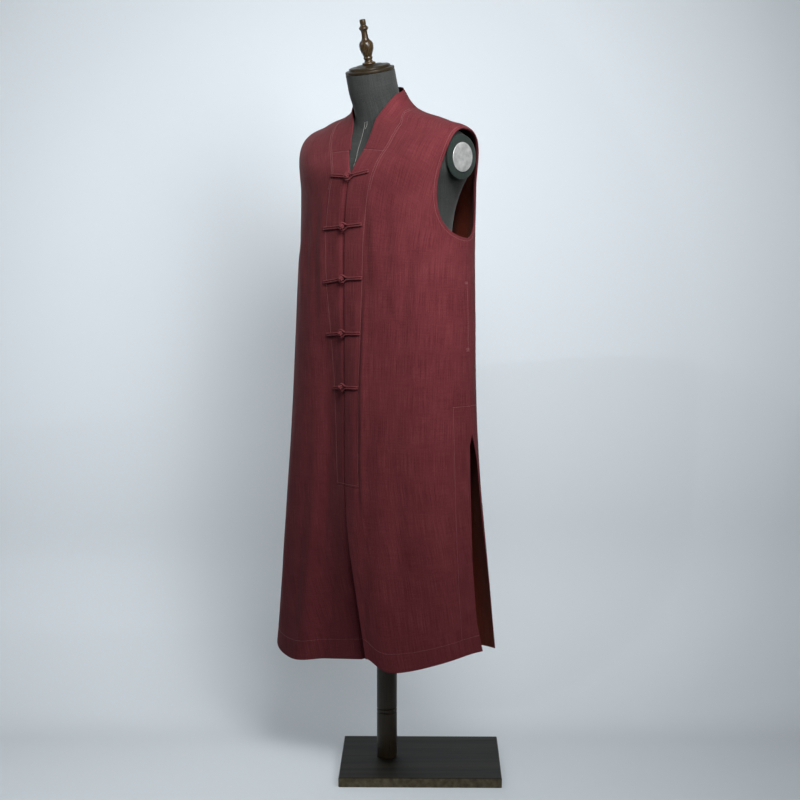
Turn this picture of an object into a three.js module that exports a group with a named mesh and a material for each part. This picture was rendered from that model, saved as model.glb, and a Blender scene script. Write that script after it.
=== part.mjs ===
// A long sleeveless cross-collar vest worn by a limbless dress form on a round post and a flat
// base plate. Millimetres, +Z up. The vest's front looks along -Y and the wearer's left is +X.
// The origin lies on the floor, under the post's axis.
import * as THREE from 'three';

// ---------- driving dimensions ----------
const CLOTH = 1.6; // wall of the outer cloth
const FACING = 1.0; // wall of the armhole facings
const GAP = 0.3; // between pieces at a seam
const BAND = 54; // width of the left placket; the edge tables give the width elsewhere
const UNDERLAP = 20; // how far the right band runs under the left one
const UNDER = 4.2; // how far below the left band it lies there
const FACING_WIDTH = 28;
const SHOULDER_TILT = 0.019; // the left shoulder sits a little higher
const CORD = 1.8; // radius of the frog's cord
const BALL = 5.4; // radius of the knotted ball
const NECK_LEAN = 12; // degrees, forwards
const NECK_TOP = new THREE.Vector3(0, -46, 1434);
const FORM_SIDE = 204; // the form's arm ends are cut flat here
const PLATE = { depth: 4, halfWidth: 41, halfHeight: 44, z: 1260, y: 1 };
const BADGE = { depth: 1.6, halfWidth: 28, halfHeight: 29 };
const POST = { radius: 21, foot: 20.3, grooves: [116, 124] };
const FLANGE = { radius: 60, depth: 10 };
const BASE = { width: 330, depth: 300, thick: 20, x: 52.4, y: 46.6, turn: 43.75, bevel: 1.5 };

// A short table: one row for each section, with named columns.
function table(columns, rows) {
  const names = columns.split(' ');
  return rows.map((row) => Object.fromEntries(names.map((name, i) => [name, row[i]])));
}

// Level curves of the vest from hem to collar. z is given at the front, at 45 degrees, at the
// side and behind; half is the half width, front and back the depths from the centre at mid.
const LEVELS = 'at front_z front45_z side_z back45_z back_z half front back mid square_f square_b';
const VEST = table(LEVELS, [
  ['hem',       238,  266,  288,  274,  262, 265, 160, 124,   0, 2.65, 2.6],
  ['calf',      426,  430,  440,  432,  430, 249, 147, 117,   0, 2.7, 2.5],
  ['knee',      608,  608,  608,  608,  608, 236, 134, 106,   0, 2.75, 2.3],
  ['hip',       790,  790,  790,  790,  790, 228, 128, 100,   0, 2.5, 2.15],
  ['waist',     940,  940,  940,  940,  940, 222, 126, 107,   0, 2.35, 2.1],
  ['ribs',     1050, 1050, 1050, 1050, 1050, 218, 125, 120,   0, 2.25, 2.0],
  ['armpit',   1115, 1112, 1110, 1115, 1120, 216, 125, 126,   0, 2.1, 2.0],
  ['chest',    1180, 1188, 1205, 1200, 1195, 217, 126, 129,   0, 2.0, 2.0],
  ['tip',      1236, 1264, 1306, 1288, 1272, 219, 123, 125,   0, 2.0, 2.0],
  ['shoulder', 1277, 1306, 1337, 1328, 1316, 152,  95, 103,  -2, 2.0, 2.0],
  ['neck',     1318, 1340, 1360, 1364, 1360,  73,  59,  71, -15, 2.0, 2.0],
  ['collar',   1352, 1375, 1399, 1405, 1407,  55,  42,  46, -25, 2.0, 2.0],
]);

// Folds hang from a start level down to where they reach their full depth. lean is how far they
// turn for each level up, and left the spread on the wearer's left.
const FOLDS = table('at angle lean spread left start full depth rise', [
  ['closing',          31, -11, 20, 11, 1.6, 0, 14, 30],
  ['band crest',       25, 0, 26, 15, 4.7, 2.7, -8, 0],
  ['right trough',    -20, 0, 16, 24, 4.7, 2.7, 11, 0],
  ['right hem',       -62, 0, 32, 32, 2,    0,  0, -24],
  ['inner right hem', -16, 0, 16, 16, 1.5,  0,  0, 9],
  ['left front',       58, 0, 13, 13, 2.6,  0,  6, 0],
  ['left side',        84, 0,  9,  9, 2.9,  0,  5, 0],
  ['right front',     -48, 0, 12, 12, 2.4,  0,  7, 0],
  ['right side',      -80, 0, 10, 10, 2.8,  0,  5, 0],
  ['back left',       146, 0, 12, 12, 3.2,  0,  9, 0],
  ['back centre',     184, 0, 14, 14, 2.7,  0,  7, 0],
  ['back right',      222, 0, 11, 11, 3.4,  0,  8, 0],
]);

// The neckline: the inner edge of the two bands from the hem, up the front, round the neck to
// the nape. lean is the way across the band, in degrees below level, and wide its width.
const EDGE = 'at angle level lean wide';
const LEFT_EDGE = table(EDGE, [
  ['hem',       30.5,  0,     0, 44],
  ['calf',      20,    1,     0, 44],
  ['knee',       7,    2,     0, 44],
  ['hip',        3.8,  3,     0, 45],
  ['waist',      2.6,  4,     0, 47],
  ['ribs',       2.2,  5,     0, 50],
  ['armpit',     3.2,  6.1,   0, 52],
  ['chest',      7,    7.2,   0, 54],
  ['neckline',  12,    8.0,   0, 54],
  ['lapel',     18.6,  9.05,  5, 56],
  ['throat',    31,   10.05, 18, 60],
  ['front neck', 45,  10.4,  25, 56],
  ['side neck',  90,  10.8,  70, 46],
  ['behind',    135,  10.95, 90, 44],
  ['nape',      180,  11,    90, 44],
]);
const RIGHT_EDGE = table(EDGE, [
  ['hem',       30.5,  0,     0, 30],
  ['calf',      20,    1,     0, 30],
  ['knee',       7,    2,     0, 33],
  ['hip',        3.8,  3,     0, 43],
  ['waist',      2.6,  4,     0, 50],
  ['ribs',       2.2,  5,     0, 56],
  ['armpit',     3.2,  6.1,   0, 57],
  ['chest',      7,    7.2,   0, 54],
  ['neckline',  10.5,  8.0,   0, 54],
  ['lapel',     -3.6,  9.05,  5, 56],
  ['throat',   -26,   10.05, 18, 60],
  ['front neck', -43, 10.4,  25, 56],
  ['side neck',  -90, 10.8,  70, 46],
  ['behind',   -135,  10.95, 90, 44],
  ['nape',     -180,  11,    90, 44],
]);
const KNEE = 2;
const NECKLINE = 8;
const LAPEL = 9;
const NAPE = 14;

// Outer borders of the panels on one side of the body.
const FRONT_SIDE = table('angle level', [
  [91.7, 0], [89.6, 0.4], [89.2, 1.2], [90.3, 2.49], [92.2, 2.6], [91.2, 3], [91.5, 4.4], [92.5, 5.9],
]);
const BACK_SIDE = table('angle level', [
  [107, 0], [105, 0.6], [101, 1.3], [97, 2.3], [92.2, 2.6], [91.2, 3], [91.5, 4.4], [92.5, 5.9],
]);
const FRONT_ARMHOLE = table('angle level', [
  [92.5, 5.9], [88.5, 5.93], [84.5, 6.0], [80, 6.14], [76.2, 6.37], [74.2, 6.67], [73.9, 7.0],
  [75, 7.38], [77.6, 7.7], [81, 7.96], [85, 8.11], [90, 8.19],
]);
const BACK_ARMHOLE = table('angle level', [
  [92.5, 5.9], [97, 5.97], [101, 6.12], [104, 6.33], [106, 6.6], [107, 6.9], [107.5, 7.2],
  [107, 7.5], [105, 7.8], [101.5, 8.02], [96.5, 8.14], [90, 8.19],
]);

// Frog closures: height level of each on the closing edge, how far its ball lies to the right
// of that edge, the half lengths from the ball, and the rise of the loop and drop of the knot
// half in degrees.
const FROGS = table('level shift loop knot rise drop', [
  [7.79, 3.7, 49, 49, 12.6, -2], [6.19, 2, 47, 58, 6, 5], [4.72, 2.4, 50, 56, 3.6, 9],
  [3.81, 5.3, 49, 51, 3, 6], [3.1, 5.5, 47, 38, 2.7, 7],
]);

// The dress form, from its foot to the top of its neck.
const FORM = table(LEVELS + ' power', [
  ['foot',      640,  640,  640,  640,  640, 156, 106,  80,   0, 2.2, 2.2, 2],
  ['hip',       700,  700,  700,  700,  700, 164, 110,  84,   0, 2.2, 2.2, 2],
  ['waist',     890,  890,  890,  890,  890, 142, 101,  86,   0, 2.1, 2.1, 2],
  ['ribs',     1030, 1030, 1030, 1030, 1030, 148, 109, 101,   0, 2.1, 2.1, 2],
  ['chest',    1110, 1110, 1110, 1110, 1110, 150, 115, 104,   0, 2.1, 2.1, 2],
  ['blades',   1160, 1160, 1162, 1162, 1162, 162, 117, 111,   0, 2.0, 2.0, 2],
  ['armhole',  1190, 1195, 1207, 1200, 1196, 182, 116, 115,   0, 2.0, 2.0, 2],
  ['low plate', 1212, 1222, 1242, 1232, 1224, 206, 114, 116,  0, 2.0, 2.0, 2],
  ['plate',    1228, 1248, 1280, 1262, 1250, 208, 110, 115,   0, 2.0, 2.0, 2],
  ['tip',      1242, 1268, 1302, 1286, 1270, 202, 102, 110,   0, 2.0, 2.0, 2],
  ['shoulder', 1270, 1297, 1328, 1319, 1307, 148,  83,  92,  -2, 2.0, 2.0, 2],
  ['neck base', 1308, 1330, 1350, 1353, 1348, 72,  57,  56,  -8, 2.0, 2.0, 2],
  ['low neck', 1342, 1356, 1371, 1377, 1380,  52,  44,  43, -23, 2.0, 2.0, 1.5],
  ['mid neck', 1388, 1393, 1400, 1406, 1410,  49.5, 48.5, 48, -36.5, 2.0, 2.0, 1],
  ['neck top', 1423.2, 1428.4, 1433.5, 1438.6, 1443.8, 49, 49, 49, -45.9, 2.0, 2.0, 1],
]);

// ---------- tables to curves ----------
// Reads a table between its rows with a smooth curve through every numeric column.
function between(rows, place) {
  const last = rows.length - 1;
  const i = Math.min(Math.max(Math.floor(place), 0), last - 1);
  const t = place - i;
  const read = {};
  for (const name of Object.keys(rows[0])) {
    if (name === 'at') continue;
    const b = rows[i][name];
    const c = rows[i + 1][name];
    const a = i > 0 ? rows[i - 1][name] : 2 * b - c;
    const d = i + 2 <= last ? rows[i + 2][name] : 2 * c - b;
    const slopeB = (c - a) / 2;
    const slopeC = (d - b) / 2;
    const turn = 3 * (c - b) - 2 * slopeB - slopeC;
    const rest = 2 * (b - c) + slopeB + slopeC;
    read[name] = b + t * (slopeB + t * (turn + t * rest));
  }
  return read;
}

// Reads a two-column border at a share of its length in rows, straight from row to row.
function border(rows, share) {
  const at = share * (rows.length - 1);
  const i = Math.min(Math.floor(at), rows.length - 2);
  const t = at - i;
  const mix = (name) => rows[i][name] * (1 - t) + rows[i + 1][name] * t;
  return [mix('angle'), mix('level')];
}

function smooth(share) {
  const t = Math.min(Math.max(share, 0), 1);
  return t * t * (3 - 2 * t);
}

// ---------- surfaces ----------
// A point of a body given by level curves; angle 0 is the front, 90 the wearer's left.
function onBody(rows, angle, level) {
  const r = between(rows, level);
  const turn = THREE.MathUtils.degToRad(angle);
  const side = Math.sin(turn);
  const ahead = Math.cos(turn);
  const front = ahead > 0;
  const depth = front ? r.front : r.back;
  const square = front ? r.square_f : r.square_b;
  const share = (Math.abs(side) / r.half) ** square + (Math.abs(ahead) / depth) ** square;
  const radius = share ** (-1 / square);
  const q = (radius * Math.abs(ahead) / depth) ** (r.power || 2);
  const end = front ? r.front_z : r.back_z;
  const quarter = front ? r.front45_z : r.back45_z;
  const z = r.side_z + (end - r.side_z) * q + 4 * (quarter - (end + r.side_z) / 2) * q * (1 - q);
  return new THREE.Vector3(radius * side, r.mid - radius * ahead, z);
}

function normalOf(surface, angle, level) {
  const da = 0.05;
  const dl = 0.002;
  const across = surface(angle + da, level).sub(surface(angle - da, level));
  const up = surface(angle, level + dl).sub(surface(angle, level - dl));
  return across.cross(up).normalize();
}

const bare = (angle, level) => onBody(VEST, angle, level);

function foldAt(angle, level) {
  let depth = 0;
  let rise = 0;
  for (const fold of FOLDS) {
    const off = ((((angle - fold.angle - fold.lean * level + 180) % 360) + 360) % 360) - 180;
    const hang = smooth((level - fold.start) / (fold.full - fold.start)) ** 0.9;
    const spread = off > 0 ? fold.left : fold.spread;
    const share = Math.exp(-((off / spread) ** 2)) * hang;
    depth += share * fold.depth;
    rise += share * fold.rise;
  }
  return { depth, rise };
}

// The outer face of the vest with its hanging folds and the tilt of the shoulders.
function vest(angle, level) {
  const point = bare(angle, level);
  const fold = foldAt(angle, level);
  if (Math.abs(fold.depth) > 0.01) point.addScaledVector(normalOf(bare, angle, level), -fold.depth);
  const tilt = SHOULDER_TILT * point.x * smooth((point.z - 850) / 350);
  point.z += fold.rise + tilt;
  return point;
}

function form(angle, level) {
  const point = onBody(FORM, angle, level);
  point.z += SHOULDER_TILT * point.x * smooth((point.z - 850) / 350) * smooth((1420 - point.z) / 80);
  point.x = Math.min(Math.max(point.x, -FORM_SIDE), FORM_SIDE);
  return point;
}

const strides = (distance) => Math.max(2, Math.ceil((Math.abs(distance) - 1) / 9));

// Walks over the vest from a point, in a heading laid flat on the cloth, and says where it ends.
function walk(angle, level, heading, distance, steps = strides(distance)) {
  const at = [angle, level];
  for (let k = 0; k < steps; k += 1) {
    const da = 0.05;
    const dl = 0.002;
    const u = vest(at[0] + da, at[1]).sub(vest(at[0] - da, at[1])).divideScalar(2 * da);
    const v = vest(at[0], at[1] + dl).sub(vest(at[0], at[1] - dl)).divideScalar(2 * dl);
    const n = u.clone().cross(v).normalize();
    const step = heading.clone().addScaledVector(n, -heading.dot(n)).normalize();
    step.multiplyScalar(distance / steps);
    const uu = u.dot(u);
    const vv = v.dot(v);
    const uv = u.dot(v);
    const det = uu * vv - uv * uv;
    at[0] += (step.dot(u) * vv - step.dot(v) * uv) / det;
    at[1] += (step.dot(v) * uu - step.dot(u) * uv) / det;
  }
  return at;
}

// The point of a band at a place along the neckline and a distance out from it, counted for a
// band of full width and drawn in or out with the band's own width there.
function onBand(side, place, out) {
  const edge = between(side > 0 ? LEFT_EDGE : RIGHT_EDGE, place);
  if (Math.abs(out) < 0.01) return [edge.angle, edge.level];
  const across = out <= BAND ? (out * edge.wide) / BAND : edge.wide + out - BAND;
  const lean = THREE.MathUtils.degToRad(edge.lean);
  const heading = new THREE.Vector3(side * Math.cos(lean), 0, -Math.sin(lean));
  if (out < 0) return walk(edge.angle, edge.level, new THREE.Vector3(-side, 0, 0), -out);
  return walk(edge.angle, edge.level, heading, across, strides(out));
}

// ---------- shells ----------
// Patches are grids of [angle, level, lift] on the vest, or null where there is no cloth.
// They are joined where they meet, doubled inwards by the wall, and closed round every edge.
function shell(patches, wall) {
  const outer = [];
  const inner = [];
  const known = new Map();
  const faces = [];
  const corner = ([angle, level, lift]) => {
    const point = vest(angle, level);
    const key = [point.x, point.y, point.z, lift].map((v) => Math.round(v * 200)).join();
    if (known.has(key)) return known.get(key);
    const n = normalOf(vest, angle, level);
    outer.push(point.clone().addScaledVector(n, lift));
    inner.push(point.clone().addScaledVector(n, lift - wall));
    known.set(key, outer.length - 1);
    return outer.length - 1;
  };
  for (const patch of patches) {
    const ids = patch.map((row) => row.map((cell) => (cell ? corner(cell) : -1)));
    for (let i = 0; i + 1 < ids.length; i += 1) {
      for (let j = 0; j + 1 < ids[i].length; j += 1) {
        const quad = [ids[i][j], ids[i][j + 1], ids[i + 1][j + 1], ids[i + 1][j]];
        if (quad.includes(-1)) continue;
        faces.push(...split(quad, outer, inner));
      }
    }
  }
  const first = faces[0].map((i) => outer[i]);
  const lie = first[1].clone().sub(first[0]).cross(first[2].clone().sub(first[0]));
  const out = outer[faces[0][0]].clone().sub(inner[faces[0][0]]);
  if (lie.dot(out) < 0) faces.forEach((face) => face.reverse());
  return closeShell(outer, inner, faces);
}

// Splits a quad along the diagonal that lies further out.
function split([a, b, c, d], outer, inner) {
  const out = outer[a].clone().sub(inner[a]).add(outer[c]).sub(inner[c]);
  const one = outer[a].clone().add(outer[c]).dot(out);
  const other = outer[b].clone().add(outer[d]).dot(out);
  return one >= other ? [[a, b, c], [a, c, d]] : [[b, c, d], [b, d, a]];
}

function closeShell(outer, inner, faces) {
  const count = outer.length;
  const edges = new Map();
  for (const face of faces) {
    if (new Set(face).size < 3) continue;
    for (let k = 0; k < 3; k += 1) edges.set(`${face[k]},${face[(k + 1) % 3]}`, true);
  }
  const index = [];
  for (const [a, b, c] of faces) {
    if (a === b || b === c || c === a) continue;
    index.push(a, b, c, a + count, c + count, b + count);
    for (const [p, q] of [[a, b], [b, c], [c, a]]) {
      if (edges.has(`${q},${p}`)) continue;
      index.push(p, p + count, q + count, p, q + count, q);
    }
  }
  const geometry = new THREE.BufferGeometry();
  geometry.setFromPoints([...outer, ...inner]);
  geometry.setIndex(index);
  return geometry;
}

// ---------- cloth pieces ----------
const SEAM_ROWS = 13; // rows of the panels from the hem to the armpit
const LAPEL_ROWS = 7; // from the armpit to the cross seam of the bands
const NECK_ROWS = 5; // from there to the shoulder seam, and again to the nape
const ARM_ROWS = LAPEL_ROWS + NECK_ROWS;
const ARMPIT = 5.9;
const KNEE_ROW = 5; // the row of the panels that lies at the foot of the placket bands

// The level of a row below the armpit; the foot of the placket falls on one of the rows.
function rowLevel(row) {
  if (row <= KNEE_ROW) return (KNEE * row) / KNEE_ROW;
  return KNEE + ((row - KNEE_ROW) / (SEAM_ROWS - KNEE_ROW)) * (ARMPIT - KNEE);
}

// A border made of rows of [angle, level], read at a level.
function borderAtLevel(rows, level) {
  let i = 0;
  while (i < rows.length - 2 && rows[i + 1].level < level) i += 1;
  const t = (level - rows[i].level) / (rows[i + 1].level - rows[i].level);
  return rows[i].angle * (1 - t) + rows[i + 1].angle * t;
}

// Where a place along the neckline lies at a given level below the neckline.
function placeOfLevel(rows, level) {
  let low = 0;
  let high = NECKLINE;
  for (let k = 0; k < 30; k += 1) {
    const half = (low + high) / 2;
    if (between(rows, half).level < level) low = half;
    else high = half;
  }
  return (low + high) / 2;
}

// The place along the neckline whose band reaches the shoulder seam, or a given angle.
function placeOfSeam(side, angle) {
  let low = NECKLINE;
  let high = NAPE;
  for (let k = 0; k < 24; k += 1) {
    const half = (low + high) / 2;
    if (Math.abs(onBand(side, half, BAND + GAP)[0]) < angle) low = half;
    else high = half;
  }
  return (low + high) / 2;
}

// The places along the neckline that the rows of a front and of its bands share.
function stations(side) {
  const edge = side > 0 ? LEFT_EDGE : RIGHT_EDGE;
  const places = [];
  for (let i = 0; i <= SEAM_ROWS; i += 1) places.push(placeOfLevel(edge, rowLevel(i)));
  const armpit = places[SEAM_ROWS];
  const shoulder = placeOfSeam(side, 90);
  for (let i = 1; i <= LAPEL_ROWS; i += 1) places.push(armpit + ((LAPEL - armpit) * i) / LAPEL_ROWS);
  for (let i = 1; i <= NECK_ROWS; i += 1) places.push(LAPEL + ((shoulder - LAPEL) * i) / NECK_ROWS);
  return places;
}

// The right band dips under the left one at the closing edge, as far up as the neckline. Below
// the bands the left edge flares out and the right front falls back behind it.
function dip(side, place, out) {
  const low = smooth((KNEE - place) / KNEE);
  if (side > 0) return 4 * low * smooth((BAND - out) / BAND);
  const open = 1 - smooth((place - NECKLINE + 0.1) / 0.5);
  return -UNDER * smooth((14 - out) / 14) * open - 34 * low * smooth((170 - out) / 170);
}

function across(side) {
  const shared = [9, 20, 31, 42];
  return side > 0 ? [0, ...shared] : [-UNDERLAP, -9, 0, 5, ...shared];
}

// A cell on a band, lowered where it runs under the other band.
function bandCell(side, place, out) {
  const [angle, level] = onBand(side, place, out);
  return [angle, level, dip(side, place, out)];
}

function frontPanel(side) {
  const columns = 12;
  const places = stations(side);
  const grid = [];
  for (let i = 0; i <= SEAM_ROWS + ARM_ROWS; i += 1) {
    const seam = i <= SEAM_ROWS;
    const climb = (i - SEAM_ROWS) / ARM_ROWS;
    const level = seam ? rowLevel(i) : 0;
    const place = places[i];
    const inner = onBand(side, place, BAND + GAP);
    if (i === SEAM_ROWS + ARM_ROWS) inner[0] = side * 89.9;
    const outer = seam ? [borderAtLevel(FRONT_SIDE, level), level] : border(FRONT_ARMHOLE, climb);
    const last = [side * (outer[0] - (i === SEAM_ROWS + ARM_ROWS ? 0.1 : seam ? 0.05 : 0)), outer[1]];
    const hung = (cell) => [cell[0], level, cell[2]];
    const strip = i <= KNEE_ROW
      ? across(side).map((out) => hung(bandCell(side, place, out)))
      : across(side).map(() => null);
    if (i <= KNEE_ROW) inner[1] = level;
    const row = [...strip];
    for (let j = 0; j <= columns; j += 1) {
      const t = j / columns;
      const lift = i < KNEE_ROW ? dip(side, place, BAND + 240 * t) : 0;
      row.push([inner[0] * (1 - t) + last[0] * t, inner[1] * (1 - t) + last[1] * t, lift]);
    }
    grid.push(row);
  }
  return shell([grid], CLOTH);
}

function backHalf(side) {
  const columns = 11;
  const shoulder = placeOfSeam(side, 90);
  const nape = onBand(side, NAPE, BAND + GAP);
  const grid = [];
  for (let i = 0; i <= SEAM_ROWS + ARM_ROWS; i += 1) {
    const seam = i <= SEAM_ROWS;
    const climb = (i - SEAM_ROWS) / ARM_ROWS;
    const above = i - SEAM_ROWS - LAPEL_ROWS;
    const level = seam ? rowLevel(i) : 0;
    let inner = [side * 180, level];
    if (!seam && above <= 0) {
      inner = [side * 180, ARMPIT + (nape[1] - ARMPIT) * ((i - SEAM_ROWS) / LAPEL_ROWS)];
    } else if (!seam) {
      const place = NAPE + (shoulder - NAPE) * (above / NECK_ROWS);
      inner = onBand(side, place, BAND + GAP);
      if (above === NECK_ROWS) inner[0] = side * 90.1;
    }
    const outer = seam ? [borderAtLevel(BACK_SIDE, level), level] : border(BACK_ARMHOLE, climb);
    const shift = i === SEAM_ROWS + ARM_ROWS ? 0.1 : seam ? 0.05 : 0;
    const last = [side * (outer[0] + shift), outer[1]];
    const row = [];
    for (let j = 0; j <= columns; j += 1) {
      const t = j / columns;
      row.push([inner[0] * (1 - t) + last[0] * t, inner[1] * (1 - t) + last[1] * t, 0]);
    }
    grid.push(side > 0 ? row : row.reverse());
  }
  return grid;
}

// The two halves share one orientation, so that they join down the centre of the back.
function backPanel() {
  return shell([backHalf(1), backHalf(-1).map((row) => row)], CLOTH);
}

function placket(side) {
  const outs = [...across(side), BAND];
  const places = stations(side).slice(KNEE_ROW, SEAM_ROWS + LAPEL_ROWS + 1);
  places[0] += 0.004;
  const grid = places.map((place) => {
    const closed = place < NECKLINE - 0.1;
    return outs.map((out) => (out < 0 && !closed ? null : bandCell(side, place, out)));
  });
  return shell([grid], CLOTH);
}

function collarBand() {
  const outs = [0, 18, 36, BAND];
  const half = (side) => {
    const places = stations(side).slice(SEAM_ROWS + LAPEL_ROWS);
    const shoulder = places[NECK_ROWS];
    places[0] += 0.006;
    for (let i = 1; i <= NECK_ROWS; i += 1) places.push(shoulder + ((NAPE - shoulder) * i) / NECK_ROWS);
    return places.map((place) => outs.map((out) => [...onBand(side, place, out), 0]));
  };
  return shell([[...half(1), ...half(-1).reverse().slice(1)]], CLOTH);
}

// A flat strip inside the armhole, from its edge into the panels, all the way round.
function armholeFacing(side) {
  const loop = [];
  for (let i = 0; i < ARM_ROWS; i += 1) loop.push(border(FRONT_ARMHOLE, i / ARM_ROWS));
  for (let i = 0; i < ARM_ROWS; i += 1) loop.push(border(BACK_ARMHOLE, 1 - i / ARM_ROWS));
  const centre = [92, 7.1];
  const grid = [];
  for (let i = 0; i <= loop.length; i += 1) {
    const here = loop[i % loop.length];
    const before = loop[(i + loop.length - 1) % loop.length];
    const after = loop[(i + 1) % loop.length];
    const along = vest(after[0], after[1]).sub(vest(before[0], before[1]));
    const heading = along.cross(normalOf(vest, here[0], here[1])).normalize();
    const away = vest(here[0], here[1]).sub(vest(centre[0], centre[1]));
    if (heading.dot(away) < 0) heading.negate();
    const row = [0.6, 0.5 * FACING_WIDTH, FACING_WIDTH].map((out, k) => {
      const [angle, level] = walk(here[0], here[1], heading, out);
      return [side * angle, level, -CLOTH - (k ? 3 : 0.8)];
    });
    grid.push(row);
  }
  return shell([grid], FACING);
}

// ---------- frog closures ----------
// Places on one half of a frog: out runs from the ball to the far end, aside across the cord.
function frogPoint(frog, half, out, aside, height) {
  const place = placeOfLevel(LEFT_EDGE, frog.level);
  const centre = onBand(1, place, 0);
  const tilt = THREE.MathUtils.degToRad(half > 0 ? frog.rise : -frog.drop);
  const heading = new THREE.Vector3(half * Math.cos(tilt), 0, Math.sin(tilt));
  const back = new THREE.Vector3(-1, 0, 0);
  const middle = walk(centre[0], centre[1], back, frog.shift);
  const at = walk(middle[0], middle[1], heading, Math.max(out, 0.5));
  const n = normalOf(vest, at[0], at[1]);
  const along = heading.clone().addScaledVector(n, -heading.dot(n)).normalize();
  const sideways = n.clone().cross(along);
  const point = vest(at[0], at[1]).addScaledVector(n, height);
  if (out < 0.5) point.addScaledVector(along, out - 0.5);
  return point.addScaledVector(sideways, aside);
}

function tube(points, radius, closed = false) {
  const path = new THREE.CatmullRomCurve3(points, closed, 'centripetal');
  const section = new THREE.Shape();
  const sides = 6;
  for (let k = 0; k < sides; k += 1) {
    const turn = (2 * Math.PI * k) / sides;
    section[k ? 'lineTo' : 'moveTo'](radius * Math.cos(turn), radius * Math.sin(turn));
  }
  const steps = points.length - 1;
  return new THREE.ExtrudeGeometry(section, { steps, extrudePath: path, bevelEnabled: false });
}

const LEG = CORD + 0.25; // half the distance between the two legs of a cord

// The loop half: one cord that leaves the far end, rounds the ball and comes back beside itself.
function frogLoop(frog) {
  const ring = BALL + CORD + 1.5;
  const low = CORD + GAP;
  const places = [
    [frog.loop, LEG, low], [32, LEG, low], [16, LEG, low], [8.5, LEG + 1.6, low + 0.4],
    [3, ring - 0.6, low + 1.6], [-3, ring - 0.9, low + 4], [-ring + 1.2, 3.4, low + 4.4],
    [-ring + 0.4, 0, low + 4.4], [-ring + 1.2, -3.4, low + 4.4], [-3, -ring + 0.9, low + 4],
    [3, -ring + 0.6, low + 1.6], [8.5, -LEG - 1.6, low + 0.4], [16, -LEG, low], [32, -LEG, low],
    [frog.loop, -LEG, low],
  ];
  return tube(places.map(([out, aside, height]) => frogPoint(frog, 1, out, aside, height)), CORD);
}

// The knot half: a flat bar of doubled cord that rises into a ball. Each section gives its
// place out from the ball's centre, or in from the far end, half its width and height, and its
// height over the cloth.
const KNOT = table('end out wide high lift', [
  [1, 0, 0.9, 0.7, 2.4], [1, -0.8, 2.7, 1.4, 2.4], [1, -2.6, 3.7, 1.8, 2.4],
  [0, 28, 3.8, 1.8, 2.4], [0, 11.5, 3.4, 1.7, 2.0], [0, 7.6, 1.8, 1.2, 2.0],
  [0, 5.4, 1.5, 1.3, 3.6],
]);

function frogKnot(frog) {
  const lift = CORD + GAP + BALL - 0.6;
  const sections = KNOT.map((row) => ({ ...row, out: row.out + row.end * frog.knot }));
  for (const turn of [32, 60, 90, 120, 148, 170]) {
    const along = THREE.MathUtils.degToRad(turn);
    const wide = BALL * Math.sin(along);
    sections.push({ out: BALL * Math.cos(along), wide, high: wide, lift });
  }
  const sides = 8;
  const rings = sections.map(({ out, wide, high, lift: centre }) => {
    const ring = [];
    for (let k = 0; k < sides; k += 1) {
      const turn = (-2 * Math.PI * k) / sides;
      ring.push(frogPoint(frog, -1, out, wide * Math.cos(turn), centre + high * Math.sin(turn)));
    }
    return ring;
  });
  return lofted(rings);
}

// Closed skin over rings of equal count, capped at both ends.
function lofted(rings) {
  const sides = rings[0].length;
  const points = rings.flat();
  const index = [];
  for (let i = 0; i + 1 < rings.length; i += 1) {
    for (let k = 0; k < sides; k += 1) {
      const a = i * sides + k;
      const b = i * sides + ((k + 1) % sides);
      index.push(a, b, b + sides, a, b + sides, a + sides);
    }
  }
  const last = (rings.length - 1) * sides;
  for (let k = 1; k + 1 < sides; k += 1) {
    index.push(0, k + 1, k, last, last + k, last + k + 1);
  }
  const geometry = new THREE.BufferGeometry();
  geometry.setFromPoints(points);
  geometry.setIndex(index);
  return geometry;
}

// ---------- the dress form and its stand ----------
// The padded body: level curves from the foot to the neck's top, closed at both ends.
function formBody() {
  const sides = 32;
  const steps = 30;
  const points = [];
  const index = [];
  for (let i = 0; i <= steps; i += 1) {
    const level = ((FORM.length - 1) * i) / steps;
    for (let j = 0; j < sides; j += 1) points.push(form((360 * j) / sides, level));
  }
  const foot = points.push(new THREE.Vector3(0, 0, FORM[0].side_z)) - 1;
  const crown = points.push(NECK_TOP.clone().setZ(NECK_TOP.z - 0.5)) - 1;
  for (let j = 0; j < sides; j += 1) {
    const next = (j + 1) % sides;
    for (let i = 0; i < steps; i += 1) {
      const a = i * sides + j;
      const b = i * sides + next;
      index.push(a, b, b + sides, a, b + sides, a + sides);
    }
    index.push(foot, next, j, crown, steps * sides + j, steps * sides + next);
  }
  const geometry = new THREE.BufferGeometry();
  geometry.setFromPoints(points);
  geometry.setIndex(index);
  return geometry;
}

// A turned piece: radius and height pairs, from its foot on the axis to its top on the axis.
function turned(profile, sides = 28) {
  const geometry = new THREE.LatheGeometry(profile.map(([r, z]) => new THREE.Vector2(r, z)), sides);
  return geometry.rotateX(Math.PI / 2);
}

// A flat oval with a rounded edge, standing on its back face and looking along +Z.
function oval(halfWidth, halfHeight, depth, sides = 18) {
  const edge = Math.min(1.2, depth / 3);
  const shape = new THREE.Shape();
  shape.absellipse(0, 0, halfWidth - edge, halfHeight - edge, 0, 2 * Math.PI);
  const bevel = { bevelEnabled: true, bevelSize: edge, bevelThickness: edge, bevelSegments: 1 };
  const options = { depth: depth - 2 * edge, curveSegments: sides, steps: 1, ...bevel };
  return new THREE.ExtrudeGeometry(shape, options).translate(0, 0, edge);
}

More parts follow.
